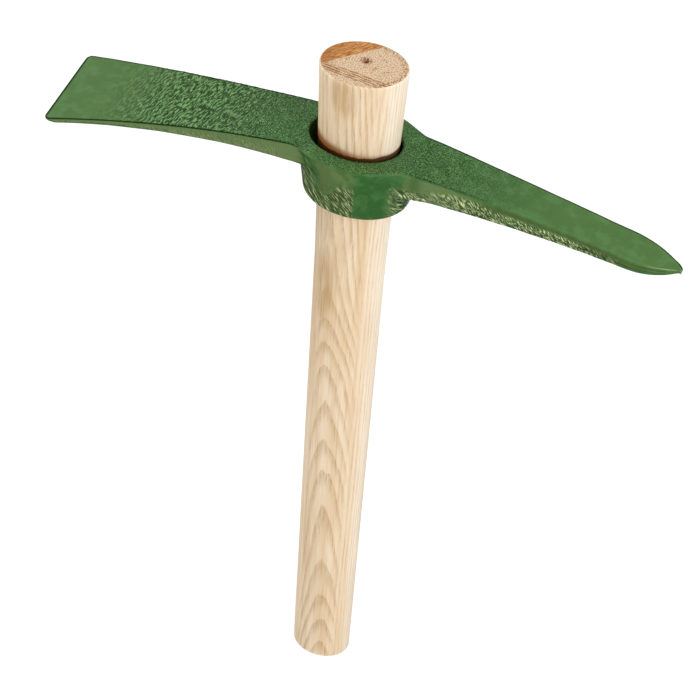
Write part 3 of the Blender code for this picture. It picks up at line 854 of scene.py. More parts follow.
        # The dark line at the rim is a painted contact shadow; the orange band above it is partly staining
        # and partly painted shade.
        joint = add(Step.EASE, add(Step.MULTIPLY_ADD, x, -0.05, above), -0.5, -1.4, 0.0, 0.9)
        halo = add(Step.EASE, add(Step.MULTIPLY_ADD, x, 0.09, above), 3.4, -1.2, 0.0, 0.95)
        at_rim = add(Step.EASE, height, rim - 10.0, rim - 4.0)
        in_eye = add(Step.EASE, height, rim - self.stain_depth_mm, rim - self.stain_depth_mm + 4.0, 0.0, 0.75)
        scuffs = add(Step.EASE, self.streamed(graph, where, self.scuff_mm, 3.0), 0.38, 0.62, 0.15, 0.8)
        rubbed = add(Step.MAXIMUM, at_rim, add(Step.MULTIPLY, scuffs, in_eye))
        colour = add(Step.BLEND, add(Step.MULTIPLY, halo, rubbed), bare, self.seat_stain_and_shade)
        return add(Step.BLEND, add(Step.MULTIPLY, joint, at_rim), colour, self.joint_shadow)


@dataclass
class HandleShape:
    """Sizes of the handle. Half-widths run along the head, and the section is the same oval all the way."""

    length: float = 383.0 * MM
    butt_half_width: float = 14.4 * MM
    taper: float = 0.008
    swell_length: float = 111.7 * MM
    swell: float = 2.5 * MM
    swell_power: float = 1.2
    ovality: float = 0.772
    butt_rounding: float = 1.5 * MM
    top_rounding: float = 1.1 * MM
    saw_slope: float = 0.045
    saw_slope_from: float = 14.0 * MM
    pit_radius: float = 1.6 * MM
    pit_depth: float = 3.0 * MM
    pit_floor: float = 0.2
    pit_centre: Pair = (-0.3 * MM, 2.6 * MM)

    def half_width(self, z: float) -> float:
        """Give the half-width along the head at a height.

        Args:
            z: Height above the butt.

        Returns:
            The half-width in metres.
        """
        rise = max(z - (self.length - self.swell_length), 0.0) / self.swell_length
        return self.butt_half_width + self.taper * z + self.swell * rise**self.swell_power

    def sawn(self, point: Vector) -> Vector:
        """Lift a point near the top end with the slope that the end was sawn at."""
        share = smoothstep(self.length - self.saw_slope_from, self.length, point.z)
        return point + Vector((0.0, 0.0, self.saw_slope * point.x * share))


def mesh_from_rows(
    mesh: bmesh.types.BMesh, rows: list[list[Vector]], closed: bool
) -> list[list[bmesh.types.BMVert]]:
    """Skin neighbouring rows of points with quads.

    Args:
        mesh: The mesh to add to.
        rows: Rows of equally many points.
        closed: Whether each row's last point joins its first.

    Returns:
        The new vertices, row by row.
    """
    loops = [[mesh.verts.new(point) for point in row] for row in rows]
    for first, second in zip(loops, loops[1:]):
        count = len(first)
        for index in range(count if closed else count - 1):
            after = (index + 1) % count
            mesh.faces.new((first[index], first[after], second[after], second[index]))
    return loops


def place(name: str, mesh: bpy.types.Mesh, material: bpy.types.Material) -> bpy.types.Object:
    """Put a mesh into the scene with its material and smooth shading.

    Args:
        name: The piece's name.
        mesh: Its mesh.
        material: Its finish.

    Returns:
        The new object.
    """
    item = bpy.data.objects.new(name, mesh)
    bpy.context.scene.collection.objects.link(item)
    mesh.materials.clear()
    mesh.materials.append(material)
    mesh.shade_smooth()
    return item


def add_share(mesh: bpy.types.Mesh, layer: Layer, shares: Sequence[float]) -> None:
    """Store one number per vertex for the material to read."""
    mesh.attributes.new(layer.value, "FLOAT", "POINT").data.foreach_set("value", shares)


@dataclass
class AshHandle:
    """The turned ash handle, with its rounded rims, sawn top and lathe pit."""

    shape: HandleShape = field(default_factory=HandleShape)
    finish: TurnedAsh = field(default_factory=TurnedAsh)
    steps_round: int = 192
    steps_along: int = 190
    steps_rim: int = 5
    steps_in: int = 44
    saw_depth: float = 0.09 * MM
    saw_heading: Pair = (0.89, 0.45)
    saw_crowding: float = 1.4
    pit_raggedness: float = 0.25
    pit_grain_per_m: float = 900.0
    pit_crowding: float = 0.85
    sanding_waver: float = 0.12 * MM
    sanding_length: float = 45.0 * MM

    def outer_rows(self) -> list[Pair]:
        """List half-width and height from the butt's rounding up to the top's rounding.

        Returns:
            Pairs of half-width and height.
        """
        shape = self.shape
        rows = []
        butt = shape.half_width(shape.butt_rounding)
        for sine, cosine in quarter_arc(self.steps_rim):
            rows.append((butt - shape.butt_rounding * (1.0 - sine), shape.butt_rounding * (1.0 - cosine)))
        high = shape.length - shape.top_rounding
        for z in spaced(shape.butt_rounding, high, self.steps_along)[1:-1]:
            rows.append((shape.half_width(z), z))
        top = shape.half_width(high)
        for sine, cosine in quarter_arc(self.steps_rim):
            rows.append((top - shape.top_rounding * (1.0 - cosine), high + shape.top_rounding * sine))
        return rows

    def top_point(self, angle: float, share: float, rim: float) -> Vector:
        """Find a point of the sawn top, sunk where the lathe's centre left its pit.

        Args:
            angle: Direction from the pit's centre to the rim point, round the handle.
            share: 0 at the rim and 1 at the pit's centre.
            rim: Half-width where the rim's rounding ends.

        Returns:
            The point in metres.
        """
        shape = self.shape
        edge = Vector((rim * math.cos(angle), rim * math.sin(angle) * shape.ovality, 0.0))
        pit = Vector((*shape.pit_centre, 0.0))
        flat = edge.lerp(pit, share**self.pit_crowding)
        along, side = self.saw_heading
        run = along * flat.x + side * flat.y
        cut = Vector((side * flat.x - along * flat.y, self.saw_crowding * run, 0.3))
        sunk = self.saw_depth * (0.5 + 0.5 * noise.noise(cut / MM)) * smoothstep(0.0, 0.08, share)
        ragged = 1.0 + self.pit_raggedness * noise.noise(flat * self.pit_grain_per_m)
        outside = (flat - pit).length / (shape.pit_radius * ragged)
        outside = (outside - shape.pit_floor) / (1.0 - shape.pit_floor)
        sunk += shape.pit_depth * (1.0 - min(max(outside, 0.0), 1.0))
        return Vector((flat.x, flat.y, shape.length + shape.saw_slope * flat.x - sunk))

    def build(self) -> bpy.types.Object:
        """Build the handle as one closed mesh and dress it.

        Returns:
            The handle's object.
        """
        shape = self.shape
        angles = [2.0 * math.pi * step / self.steps_round for step in range(self.steps_round)]
        mesh = bmesh.new()
        rows = []
        for half_width, z in self.outer_rows():
            row = []
            for angle in angles:
                side = Vector((math.cos(angle), math.sin(angle), 0.0))
                flow = noise.noise(Vector((3.0 * side.x, 3.0 * side.y, z / self.sanding_length)))
                out = half_width - self.sanding_waver * (0.5 + 0.5 * flow)
                row.append(shape.sawn(Vector((side.x * out, side.y * out * shape.ovality, z))))
            rows.append(row)
        rim = self.outer_rows()[-1][0]
        outer_count = len(rows)
        for step in range(1, self.steps_in):
            rows.append([self.top_point(angle, step / self.steps_in, rim) for angle in angles])
        loops = mesh_from_rows(mesh, rows, closed=True)
        low_index = len(mesh.verts)
        low = mesh.verts.new((0.0, 0.0, 0.0))
        pit = mesh.verts.new(self.top_point(0.0, 1.0, rim))
        for loop, hub in ((loops[0][::-1], low), (loops[-1], pit)):
            for first, second in zip(loop, loop[1:] + loop[:1]):
                mesh.faces.new((first, second, hub))
        bmesh.ops.recalc_face_normals(mesh, faces=mesh.faces)
        data = bpy.data.meshes.new("turned_handle")
        mesh.to_mesh(data)
        mesh.free()
        first_sawn = (outer_count - 2) * self.steps_round
        sawn = [1.0 if index >= first_sawn else 0.0 for index in range(len(data.vertices))]
        sawn[low_index] = 0.0
        add_share(data, Layer.SAWN, sawn)
        return place("turned_handle", data, self.finish.make())


class HeadRegion(Enum):
    """Stretches of the head that were forged with a different surface."""

    ADZE = "adze"
    COLLAR = "collar"
    PICK = "pick"


@dataclass(frozen=True)
class ForgeMarks:
    """Where forging marks, dark edge lines, painted shade and painted reflection lie, in millimetres along
    the head or off an edge.

    A pair holds the two places between which a change happens. The bends of the ripples hold how far they
    bend and over what length.
    """

    ripple_mm: Triple = (2.8, 1.0, 3.0)
    ripple_height: float = 0.9
    ripple_heading: Pair = (0.27, 0.96)
    ripple_bends: tuple[Pair, Pair] = ((1.5, 4.0), (1.1, 5.0))
    pebble_mm: Triple = (1.2, 1.2, 1.2)
    pebble_height: float = 0.35
    streak_mm: Triple = (4.2, 0.9, 4.2)
    streak_height: float = 0.25
    streak_heading: Pair = (0.61, -0.79)
    faces_up: Pair = (0.5, 0.85)
    faces_aside: Pair = (0.05, 0.4)

    ripples_begin: Pair = (-124.0, -84.0)
    ripples_thin: Pair = (-58.0, -34.0)
    adze_pebbles: Pair = (-75.0, -44.0)
    pick_pebbles_fade: Pair = (36.0, 88.0)
    side_pebbles_end: Pair = (98.0, 122.0)
    streaks_end: Pair = (114.0, 128.0)
    streaks_grow: Pair = (38.0, 54.0)
    streak_line: Triple = (0.34, 0.16, 0.14)
    streak_line_rises: Pair = (40.0, 50.0)
    streak_line_drops: Pair = (56.0, 72.0)
    collar_line_rises: Pair = (-8.0, 1.0)
    collar_end: Pair = (18.0, 25.0)
    plain_front: Pair = (7.0, 5.0)
    rim_across: Pair = (1.6, 0.6)
    rim_down: Pair = (2.0, 0.8)

    # Dark lines at the edges, partly thin enamel and partly painted shade; painted shade on the eye's wall
    # and the arms' undersides.
    eye_shade: float = 0.85
    far_lines: Pair = (1.2, 1.6)
    far_line_widens: Pair = (-10.0, 10.0)
    far_line_down: Pair = (1.1, 0.6)
    near_line: float = 0.8
    near_line_down: Pair = (0.65, 0.3)
    near_line_ends: Pair = (56.0, 70.0)
    line_softness: float = 0.4
    underside_shade: float = 0.55
    end_line: Pair = (1.3, 0.6)
    foot_line: Pair = (1.0, 0.4)

    # The shade band under the pick's top edges is painted shade; the upright sides get painted reflection.
    shade_begins: Pair = (56.0, 74.0)
    shade_ends: Pair = (140.0, 149.0)
    shade_spreads: Pair = (100.0, 112.0)
    flank_into_collar: float = 12.0
    pick_flank_begins: float = 31.0
    flank_ends: Pair = (48.0, 66.0)
    flank_on_collar: Pair = (17.0, 22.0)


@dataclass
class ForgedHead:
    """The one-piece forging: collar round the eye, adze along -X and pick along +X."""

    handle: HandleShape = field(default_factory=HandleShape)
    finish: SprayedGreenEnamel = field(default_factory=SprayedGreenEnamel)

    below_handle_top: float = 41.4 * MM
    collar_height: float = 30.9 * MM
    eye_clearance: float = 0.3 * MM
    eye_seat_height: float = 9.0 * MM
    flare_to_adze: float = 3.9 * MM
    flare_to_pick: float = 0.9 * MM
    flare_across: float = 0.7 * MM
    flare_power: float = 1.6
    eye_rim_rounding: float = 1.2 * MM

    wall_top: Triple = (4.7 * MM, 9.3 * MM, 7.3 * MM)
    wall_bottom: Triple = (6.0 * MM, 6.8 * MM, 5.3 * MM)
    collar_top_rounding: float = 1.3 * MM
    collar_bottom_rounding: float = 1.4 * MM

    neck_start: float = 15.0 * MM
    droop_blend: float = 6.0 * MM
    under_rounding: float = 1.2 * MM
    collar_blend: float = 11.0 * MM
    blend_limit: float = 0.95
    blend_from: Pair = (0.6, 0.35)
    fillets_in_plan: Pair = (9.0 * MM, 6.0 * MM)

    adze_reach: float = 140.3 * MM
    adze_droop_start: float = 15.0 * MM
    adze_slopes: Pair = (0.086, 0.278)
    adze_half_widths: Pair = (15.6 * MM, 24.1 * MM)
    adze_spread_power: float = 1.61
    adze_thicknesses: Pair = (12.2 * MM, 3.0 * MM)
    adze_thinning_power: float = 1.85
    adze_bevel_length: float = 5.0 * MM
    adze_edge_thickness: float = 0.5 * MM
    adze_root_gap: float = 4.0 * MM
    adze_under_fillet: float = 1.8 * MM
    adze_side_draft: float = 0.03
    adze_edge_rounding: float = 0.6 * MM
    adze_corner_radius: float = 3.2 * MM

    pick_reach: float = 150.0 * MM
    pick_droop_start: float = 28.0 * MM
    pick_slopes: Pair = (0.094, 0.204)
    pick_half_widths: Pair = (14.7 * MM, 9.3 * MM)
    pick_taper_power: float = 1.6
    pick_shoulder_to_tip: float = 28.0 * MM
    pick_tip_half_width: float = 0.5 * MM
    pick_plan_power: float = 2.7
    pick_depth_power: float = 1.8
    pick_thicknesses: Pair = (17.7 * MM, 9.0 * MM)
    pick_swell: float = 1.4 * MM
    pick_swell_span: Pair = (26.0 * MM, 40.0 * MM)
    pick_tip_thickness: float = 2.6 * MM
    pick_nose_length: float = 2.5 * MM
    pick_nose_bluntness: float = 0.3
    pick_nose_drop: float = 2.1 * MM
    pick_root_gap: float = 7.0 * MM
    pick_under_fillet: float = 8.0 * MM
    pick_side_draft: float = 0.11
    pick_edge_rounding: float = 1.2 * MM

    parting_depth: float = 0.5
    parting_bulge: float = 0.3 * MM

    steps_round: int = 3
    steps_side: int = 7
    steps_land: int = 14
    steps_top: int = 50
    steps_wall: int = 30
    steps_fillet: int = 10
    steps_eye: int = 26
    steps_collar: int = 150
    steps_adze: int = 330
    steps_bevel: int = 16
    steps_pick: int = 185
    steps_point: int = 40

    marks: ForgeMarks = ForgeMarks()
    relief_depth: float = 0.3 * MM
    dent_depth: float = 0.12 * MM
    dent_size: float = 11.0 * MM
    plain_end: float = 6.0 * MM
    eye_reach: float = 1.25
    least_thickness: float = 0.1 * MM

    def __post_init__(self) -> None:
        """Work out the heights and ovals that the other sizes give."""
        self.top = self.handle.length - self.below_handle_top
        self.bottom = self.top - self.collar_height
        self.top_oval = self.walled_oval(self.top, self.wall_top)
        self.bottom_oval = self.walled_oval(self.bottom, self.wall_bottom)
        self.adze_root = self.top_oval[1] - self.top_oval[0] + self.adze_root_gap
        self.pick_root = self.top_oval[1] + self.top_oval[0] + self.pick_root_gap

    def eye_oval(self, z: float) -> Triple:
        """Give the eye's centre and two half-axes at a height.

        Args:
            z: Height in the row frame.

        Returns:
            Centre along the head, half-axis along it and half-axis across it.
        """
        seat_top = self.bottom + self.eye_seat_height
        flare = (max(z - seat_top, 0.0) / (self.top - seat_top)) ** self.flare_power
        centre = 0.5 * (self.flare_to_pick - self.flare_to_adze) * flare
        own = self.handle.half_width(z)
        half_x = own + self.eye_clearance + 0.5 * (self.flare_to_pick + self.flare_to_adze) * flare
        half_y = own * self.handle.ovality + self.eye_clearance + self.flare_across * flare
        return centre, half_x, half_y

    def walled_oval(self, z: float, walls: Triple) -> Triple:
        """Grow the eye's oval by the wall towards the adze, towards the pick and across.

        Args:
            z: Height in the row frame.
            walls: Wall towards the adze, towards the pick and across.

        Returns:
            Centre and the two half-axes of the outer oval.
        """
        centre, half_x, half_y = self.eye_oval(z)
        to_adze, to_pick, across = walls
        return centre + 0.5 * (to_pick - to_adze), half_x + 0.5 * (to_pick + to_adze), half_y + across

    @staticmethod
    def oval_point(oval: Sequence[float], angle: float, z: float, inset: float = 0.0) -> Vector:
        """Find a point of an oval at an angle, moved in by an inset."""
        centre, half_x, half_y = oval
        return Vector((centre + (half_x - inset) * math.cos(angle), (half_y - inset) * math.sin(angle), z))

    def collar_point(self, angle: float, z: float, inset: float = 0.0) -> Vector:
        """Find a point of the collar's drafted outer wall.

        Args:
            angle: Angle on the wall's oval.
            z: Height in the row frame.
            inset: How far inside the wall it lies.

        Returns:
            The point in metres.
        """
        share = (self.top - z) / self.collar_height
        oval = [mix(top, bottom, share) for top, bottom in zip(self.top_oval, self.bottom_oval)]
        return self.oval_point(oval, angle, z, inset)

    def top_height(self, x: float) -> float:
        """Give the height of the top face, which droops along both arms.

        Args:
            x: Station along the head.

        Returns:
            The height in the row frame.
        """
        if x < 0.0:
            start, slopes, reach = self.adze_droop_start, self.adze_slopes, self.adze_reach
        else:
            start, slopes, reach = self.pick_droop_start, self.pick_slopes, self.pick_reach
        along = soft_ramp(abs(x) - start, self.droop_blend)
        bend = 0.5 * (slopes[1] - slopes[0]) / (reach - start)
        nose_drop = self.pick_nose_drop * (1.0 - self.nose(x))
        return self.top - slopes[0] * along - bend * along * along - nose_drop

    def nose(self, x: float) -> float:
        """Give 1 along the head, and at the pick's tip the rounded fall to 0."""
        into = min(max((x - self.pick_reach) / self.pick_nose_length + 1.0, 0.0), 1.0)
        return math.sqrt(1.0 - into * into)

    def adze_share(self, x: float) -> float:
        """Give 0 at the adze's neck and 1 at its cutting edge."""
        return min((-x - self.neck_start) / (self.adze_reach - self.neck_start), 1.0)

    def pick_share(self, x: float) -> float:
        """Give 0 at the pick's root and 1 at its shoulder."""
        return (x - self.neck_start) / (self.pick_reach - self.pick_shoulder_to_tip - self.neck_start)

    def point_share(self, x: float) -> float:
        """Give 0 at the pick's shoulder and 1 at its tip."""
        past = max(x - (self.pick_reach - self.pick_shoulder_to_tip), 0.0)
        return min(past / self.pick_shoulder_to_tip, 1.0)

    def arm_half_width(self, x: float) -> float:
        """Give the half-width of the arms' top edge; beside the eye the arms run into each other.

        Args:
            x: Station along the head.

        Returns:
            The half-width in metres.
        """
        if x <= -self.neck_start:
            width = mix(*self.adze_half_widths, self.adze_share(x) ** self.adze_spread_power)
            into_corner = 1.0 - min(max((self.adze_reach + x) / self.adze_corner_radius, 0.0), 1.0)
            return width - self.adze_corner_radius * (1.0 - math.sqrt(1.0 - into_corner * into_corner))
        if x < self.neck_start:
            return mix(self.adze_half_widths[0], self.pick_half_widths[0], 0.5 + 0.5 * x / self.neck_start)
        taper = max(1.0 - self.pick_share(x), 0.0) ** self.pick_taper_power
        width = mix(self.pick_half_widths[1], self.pick_half_widths[0], taper)
        ogive = 1.0 - self.point_share(x) ** self.pick_plan_power
        return mix(self.pick_tip_half_width, width, ogive)

    def arm_thickness(self, x: float) -> float:
        """Give the depth from the top face to the underside of the arms.

        Args:
            x: Station along the head.

        Returns:
            The thickness in metres.
        """
        neck, blade = self.adze_thicknesses
        if x <= -self.neck_start:
            own = mix(blade, neck, (1.0 - self.adze_share(x)) ** self.adze_thinning_power)
            bevel = min((self.adze_reach + x) / self.adze_bevel_length, 1.0)
            return mix(self.adze_edge_thickness, own, bevel)
        if x < self.neck_start:
            return mix(neck, self.pick_thicknesses[0], 0.5 + 0.5 * x / self.neck_start)
        past_swell = self.pick_swell * smoothstep(*self.pick_swell_span, x)
        own = mix(*self.pick_thicknesses, min(self.pick_share(x), 1.0)) - past_swell
        own = mix(own, self.pick_tip_thickness, self.point_share(x) ** self.pick_depth_power)
        return own * mix(self.pick_nose_bluntness, 1.0, self.nose(x))

    def unfilleted(self, x: float) -> Pair:
        """Give the half-widths of the arm and of the collar's top edge.

        Args:
            x: Station along the head.

        Returns:
            The two half-widths in metres.
        """
        centre, half_x, half_y = self.top_oval
        off = min(abs(x - centre) / half_x, 1.0)
        return self.arm_half_width(x), half_y * math.sqrt(1.0 - off * off)

    def outline(self, x: float) -> float:
        """Give the half-width of the whole top edge in plan: arm, fillet, collar, fillet, arm."""
        reach = mix(*self.fillets_in_plan, smoothstep(-self.neck_start, self.neck_start, x))
        return smooth_max(*self.unfilleted(x), reach)

    def collar_weight(self, x: float) -> float:
        """Give 1 beside the eye, falling to 0 at the planes where the arms begin."""
        root = self.adze_root if x < 0.0 else self.pick_root
        return 1.0 - smoothstep(0.5 * root, root, abs(x))

    def plan_normal(self, x: float) -> Vector:
        """Give the outward direction of the outline, straight across the tool on the arms.

        Args:
            x: Station along the head.

        Returns:
            A vector of length 1 in plan.
        """
        weight = self.collar_weight(x)
        if weight == 0.0:
            return Vector((0.0, 1.0, 0.0))
        step = 0.1 * MM
        slope = (self.outline(x + step) - self.outline(x - step)) / (2.0 * step)
        return Vector((-slope * smoothstep(0.0, 0.3, weight), 1.0, 0.0)).normalized()

    def plan_angle(self, x: float, y: float) -> float:
        """Give the angle of a plan point on the collar's top oval."""
        centre, half_x, half_y = self.top_oval
        return math.atan2(y / half_y, (x - centre) / half_x)

    def side_levels(
        self, thickness: float, edge_round: float, under_round: float, inset: float
    ) -> list[Triple]:
        """List the side's depth, outset and how much deeper it lies on the collar.

        Args:
            thickness: Depth of the arm here.
            edge_round: Radius of the top edge.
            under_round: Radius of the lower edge.
            inset: How far the forging draft takes the lower edge in.

        Returns:
            Triples of depth, outset and extra depth on the collar.
        """
        bulge = min(self.parting_bulge, 0.1 * thickness)
        middle = self.parting_depth * thickness
        low = thickness - under_round
        levels = []
        for sine, cosine in quarter_arc(self.steps_round):
            levels.append((edge_round * (1.0 - cosine), edge_round * (sine - 1.0), 0.0))
        for share in spaced(0.0, 1.0, self.steps_side)[1:]:
            levels.append((mix(edge_round, middle, share), bulge * share**3, 0.0))
        for share in spaced(0.0, 1.0, self.steps_side)[1:-1]:
            arm_depth = mix(middle, low, share)
            further = mix(middle, 0.8 * thickness, share) - arm_depth
            levels.append((arm_depth, mix(bulge, -inset, share**0.8), further))
        for step, (sine, cosine) in enumerate(quarter_arc(self.steps_round)):
            arm_depth = low + under_round * sine
            collar_depth = mix(0.8 * thickness, thickness, step / self.steps_round)
            levels.append((arm_depth, -inset - under_round * (1.0 - cosine), collar_depth - arm_depth))
        return levels

    def side_wall(self, x: float) -> list[Vector]:
        """List points down the side at an outline station, from the top edge to the underside.

        Args:
            x: Station along the head.

        Returns:
            Points from the top edge's rounding to the end of the lower rounding.
        """
        weight = self.collar_weight(x)
        thickness = self.arm_thickness(x)
        z_top = self.top_height(x)
        edge = Vector((x, self.outline(x), z_top))
        normal = self.plan_normal(x)
        angle = self.plan_angle(x, edge.y)
        on_adze = x < 0.0
        edge_round = self.adze_edge_rounding if on_adze else self.pick_edge_rounding
        edge_round = mix(edge_round, self.collar_top_rounding, weight)
        edge_round = min(edge_round, 0.3 * thickness, 0.6 * edge.y)
        under_round = min(self.under_rounding, 0.35 * thickness, 0.6 * edge.y)
        inset = (self.adze_side_draft if on_adze else self.pick_side_draft) * thickness
        fillet = edge.y - max(self.unfilleted(x))
        points = []
        for depth, outset, extra in self.side_levels(thickness, edge_round, under_round, inset):
            depth += weight * extra
            own_outset = outset if depth < edge_round else outset * (1.0 - weight)
            own_outset -= fillet * depth / thickness
            drift = self.collar_point(angle, z_top - depth) - self.collar_point(angle, z_top)
            point = edge + normal * own_outset + drift * weight
            points.append(Vector((point.x, point.y, z_top - depth)))
        return points

    def under_wall(self, start: Vector, angle: float, fillet: float, weight: float) -> list[Vector]:
        """List points from the underside through the fillet, down the collar and in to the eye.

        Args:
            start: Last point of the side or underside.
            angle: Angle on the collar.
            fillet: Height of the fillet under the arm.
            weight: 0 under the arm, where it meets the wall square, and 1 where the side runs down the wall.

        Returns:
            Points down to the collar's lower rim.
        """
        low = self.bottom + self.collar_bottom_rounding
        fillet = min(fillet, self.blend_limit * (start.z - low))
        corner = self.collar_point(angle, start.z)
        half_way = self.collar_point(angle, start.z - 0.5 * fillet)
        end = self.collar_point(angle, start.z - fillet)
        first = corner.lerp(start + half_way - corner, weight)
        second = corner.lerp(half_way, weight)
        points = []
        for share in spaced(0.0, 1.0, self.steps_fillet)[1:]:
            before = start.lerp(first, share).lerp(first.lerp(second, share), share)
            after = first.lerp(second, share).lerp(second.lerp(end, share), share)
            points.append(before.lerp(after, share))
        for z in spaced(end.z, low, self.steps_wall)[1:-1]:
            points.append(self.collar_point(angle, z))
        for sine, cosine in quarter_arc(self.steps_round):
            z = self.bottom + self.collar_bottom_rounding * (1.0 - sine)
            points.append(self.collar_point(angle, z, self.collar_bottom_rounding * (1.0 - cosine)))
        return points

    def eye_wall(self, angle: float) -> list[Vector]:
        """List points up the eye's wall, from the lower chamfer to the upper rim.

        Args:
            angle: Angle on the eye's oval.

        Returns:
            Points from the bottom to the top.
        """
        rounding = self.eye_rim_rounding
        points = [self.oval_point(self.eye_oval(self.bottom), angle, self.bottom, -0.5 * rounding)]
        rim = self.top_height(self.oval_point(self.eye_oval(self.top), angle, self.top).x)
        high = rim - rounding
        for z in spaced(self.bottom + 0.5 * rounding, high, self.steps_eye)[:-1]:
            points.append(self.oval_point(self.eye_oval(z), angle, z))
        for sine, cosine in quarter_arc(self.steps_round):
            z = rim - rounding * (1.0 - sine)
            points.append(self.oval_point(self.eye_oval(high), angle, z, -rounding * (1.0 - cosine)))
        return points

    def top_land(self, inner: Vector, outer: Vector) -> list[Vector]:
        """List points of the drooping top face between the eye's rim and the outer edge.

        Args:
            inner: Point on the eye's rim.
            outer: Point on the outer edge.

        Returns:
            Points in metres, both ends left out.
        """
        points = []
        for share in spaced(0.0, 1.0, self.steps_land)[1:-1]:
            point = inner.lerp(outer, share)
            points.append(Vector((point.x, point.y, self.top_height(point.x))))
        return points

    def arm_section(self, x: float) -> list[Vector]:
        """List half a section of an arm: out along the top, down the side, back in underneath.

        Args:
            x: Station along the head.

        Returns:
            Points in metres.
        """
        side = self.side_wall(x)
        top_centre = Vector((x, 0.0, side[0].z))
        under_centre = Vector((x, 0.0, side[-1].z))
        top = [top_centre.lerp(side[0], share) for share in spaced(0.0, 1.0, self.steps_top)[:-1]]
        under = [side[-1].lerp(under_centre, share) for share in spaced(0.0, 1.0, self.steps_top)[1:]]
        return top + side + under

    def root_patch(self, mesh: bmesh.types.BMesh, section: list[Vector], fillet: float) -> None:
        """Skin the part of the collar behind one arm, from the middle plane to the arm's side.

        Args:
            mesh: The mesh to add to.
            section: The arm's first section.
            fillet: Height of the fillet under the arm.
        """
        columns = []
        for step in range(self.steps_top + 1):
            top, under = section[step], section[-1 - step]
            angle = self.plan_angle(top.x, top.y)
            eye = self.eye_wall(angle)
            down = [under] + self.under_wall(under, angle, fillet, 0.0)
            columns.append(down + eye + self.top_land(eye[-1], top) + [top])
        mesh_from_rows(mesh, columns, closed=False)

    def side_column(self, x: float) -> list[Vector]:
        """List the closed ring of points round the collar's wall at an outline station.

        Args:
            x: Station along the head.

        Returns:
            Points in metres, from the eye's wall over the top and down the outside.
        """
        side = self.side_wall(x)
        angle = self.plan_angle(side[0].x, side[0].y)
        share = 0.5 + 0.5 * x / (self.adze_root if x < 0.0 else self.pick_root)
        weight = smoothstep(self.blend_from[0] if x < 0.0 else self.blend_from[1], 1.0, self.collar_weight(x))
        fillet = mix(mix(self.adze_under_fillet, self.pick_under_fillet, share), self.collar_blend, weight)
        eye = self.eye_wall(angle)
        under = self.under_wall(side[-1], angle, fillet, weight)
        return eye + self.top_land(eye[-1], side[0]) + side + under

    def end_cap(self, mesh: bmesh.types.BMesh, last: list[bmesh.types.BMVert]) -> None:
        """Close an arm's last section with a strip between its top and its underside.

        Args:
            mesh: The mesh to add to.
            last: Vertices of the section.
        """
        count = len(last)
        for index in range(count // 2):
            corners = [last[index], last[index + 1], last[count - 2 - index], last[count - 1 - index]]
            mesh.faces.new(list(dict.fromkeys(corners)))

    def plain_mesh(self) -> bpy.types.Mesh:
        """Build the whole head, before its forged surface.

        Returns:
            A closed mesh, mirrored across the middle plane.
        """
        bevel_start = -self.adze_reach + self.adze_bevel_length
        shoulder = self.pick_reach - self.pick_shoulder_to_tip
        adze_stations = spaced(-self.adze_root, bevel_start, self.steps_adze)
        adze_stations += eased(bevel_start, -self.adze_reach, self.steps_bevel)[1:]
        pick_stations = spaced(self.pick_root, shoulder, self.steps_pick)
        pick_stations += eased(shoulder, self.pick_reach, self.steps_point)[1:]
        adze = [self.arm_section(x) for x in adze_stations]
        pick = [self.arm_section(x) for x in pick_stations]
        mesh = bmesh.new()
        self.root_patch(mesh, adze[0], self.adze_under_fillet)
        self.root_patch(mesh, pick[0], self.pick_under_fillet)
        columns = [self.side_column(x) for x in spaced(-self.adze_root, self.pick_root, self.steps_collar)]
        mesh_from_rows(mesh, columns, closed=True)
        for sections in (adze, pick):
            loops = mesh_from_rows(mesh, sections, closed=False)
            self.end_cap(mesh, loops[-1])
        bmesh.ops.remove_doubles(mesh, verts=mesh.verts, dist=WELD)
        copy = bmesh.ops.duplicate(mesh, geom=mesh.verts[:] + mesh.edges[:] + mesh.faces[:])
        twins = [item for item in copy["geom"] if isinstance(item, bmesh.types.BMVert)]
        bmesh.ops.scale(mesh, vec=(1.0, -1.0, 1.0), verts=twins)
        middle = [vert for vert in mesh.verts if abs(vert.co.y) < WELD]
        bmesh.ops.remove_doubles(mesh, verts=middle, dist=WELD)
        bmesh.ops.recalc_face_normals(mesh, faces=mesh.faces)
        data = bpy.data.meshes.new("forged_head")
        mesh.to_mesh(data)
        mesh.free()
        return data

    def region(self, x: float) -> HeadRegion:
        """Name the stretch of the head that a station lies in.

        Args:
            x: Station along the head.

        Returns:
            The stretch.
        """
        if x < -self.adze_root:
            return HeadRegion.ADZE
        return HeadRegion.PICK if x > self.pick_root else HeadRegion.COLLAR

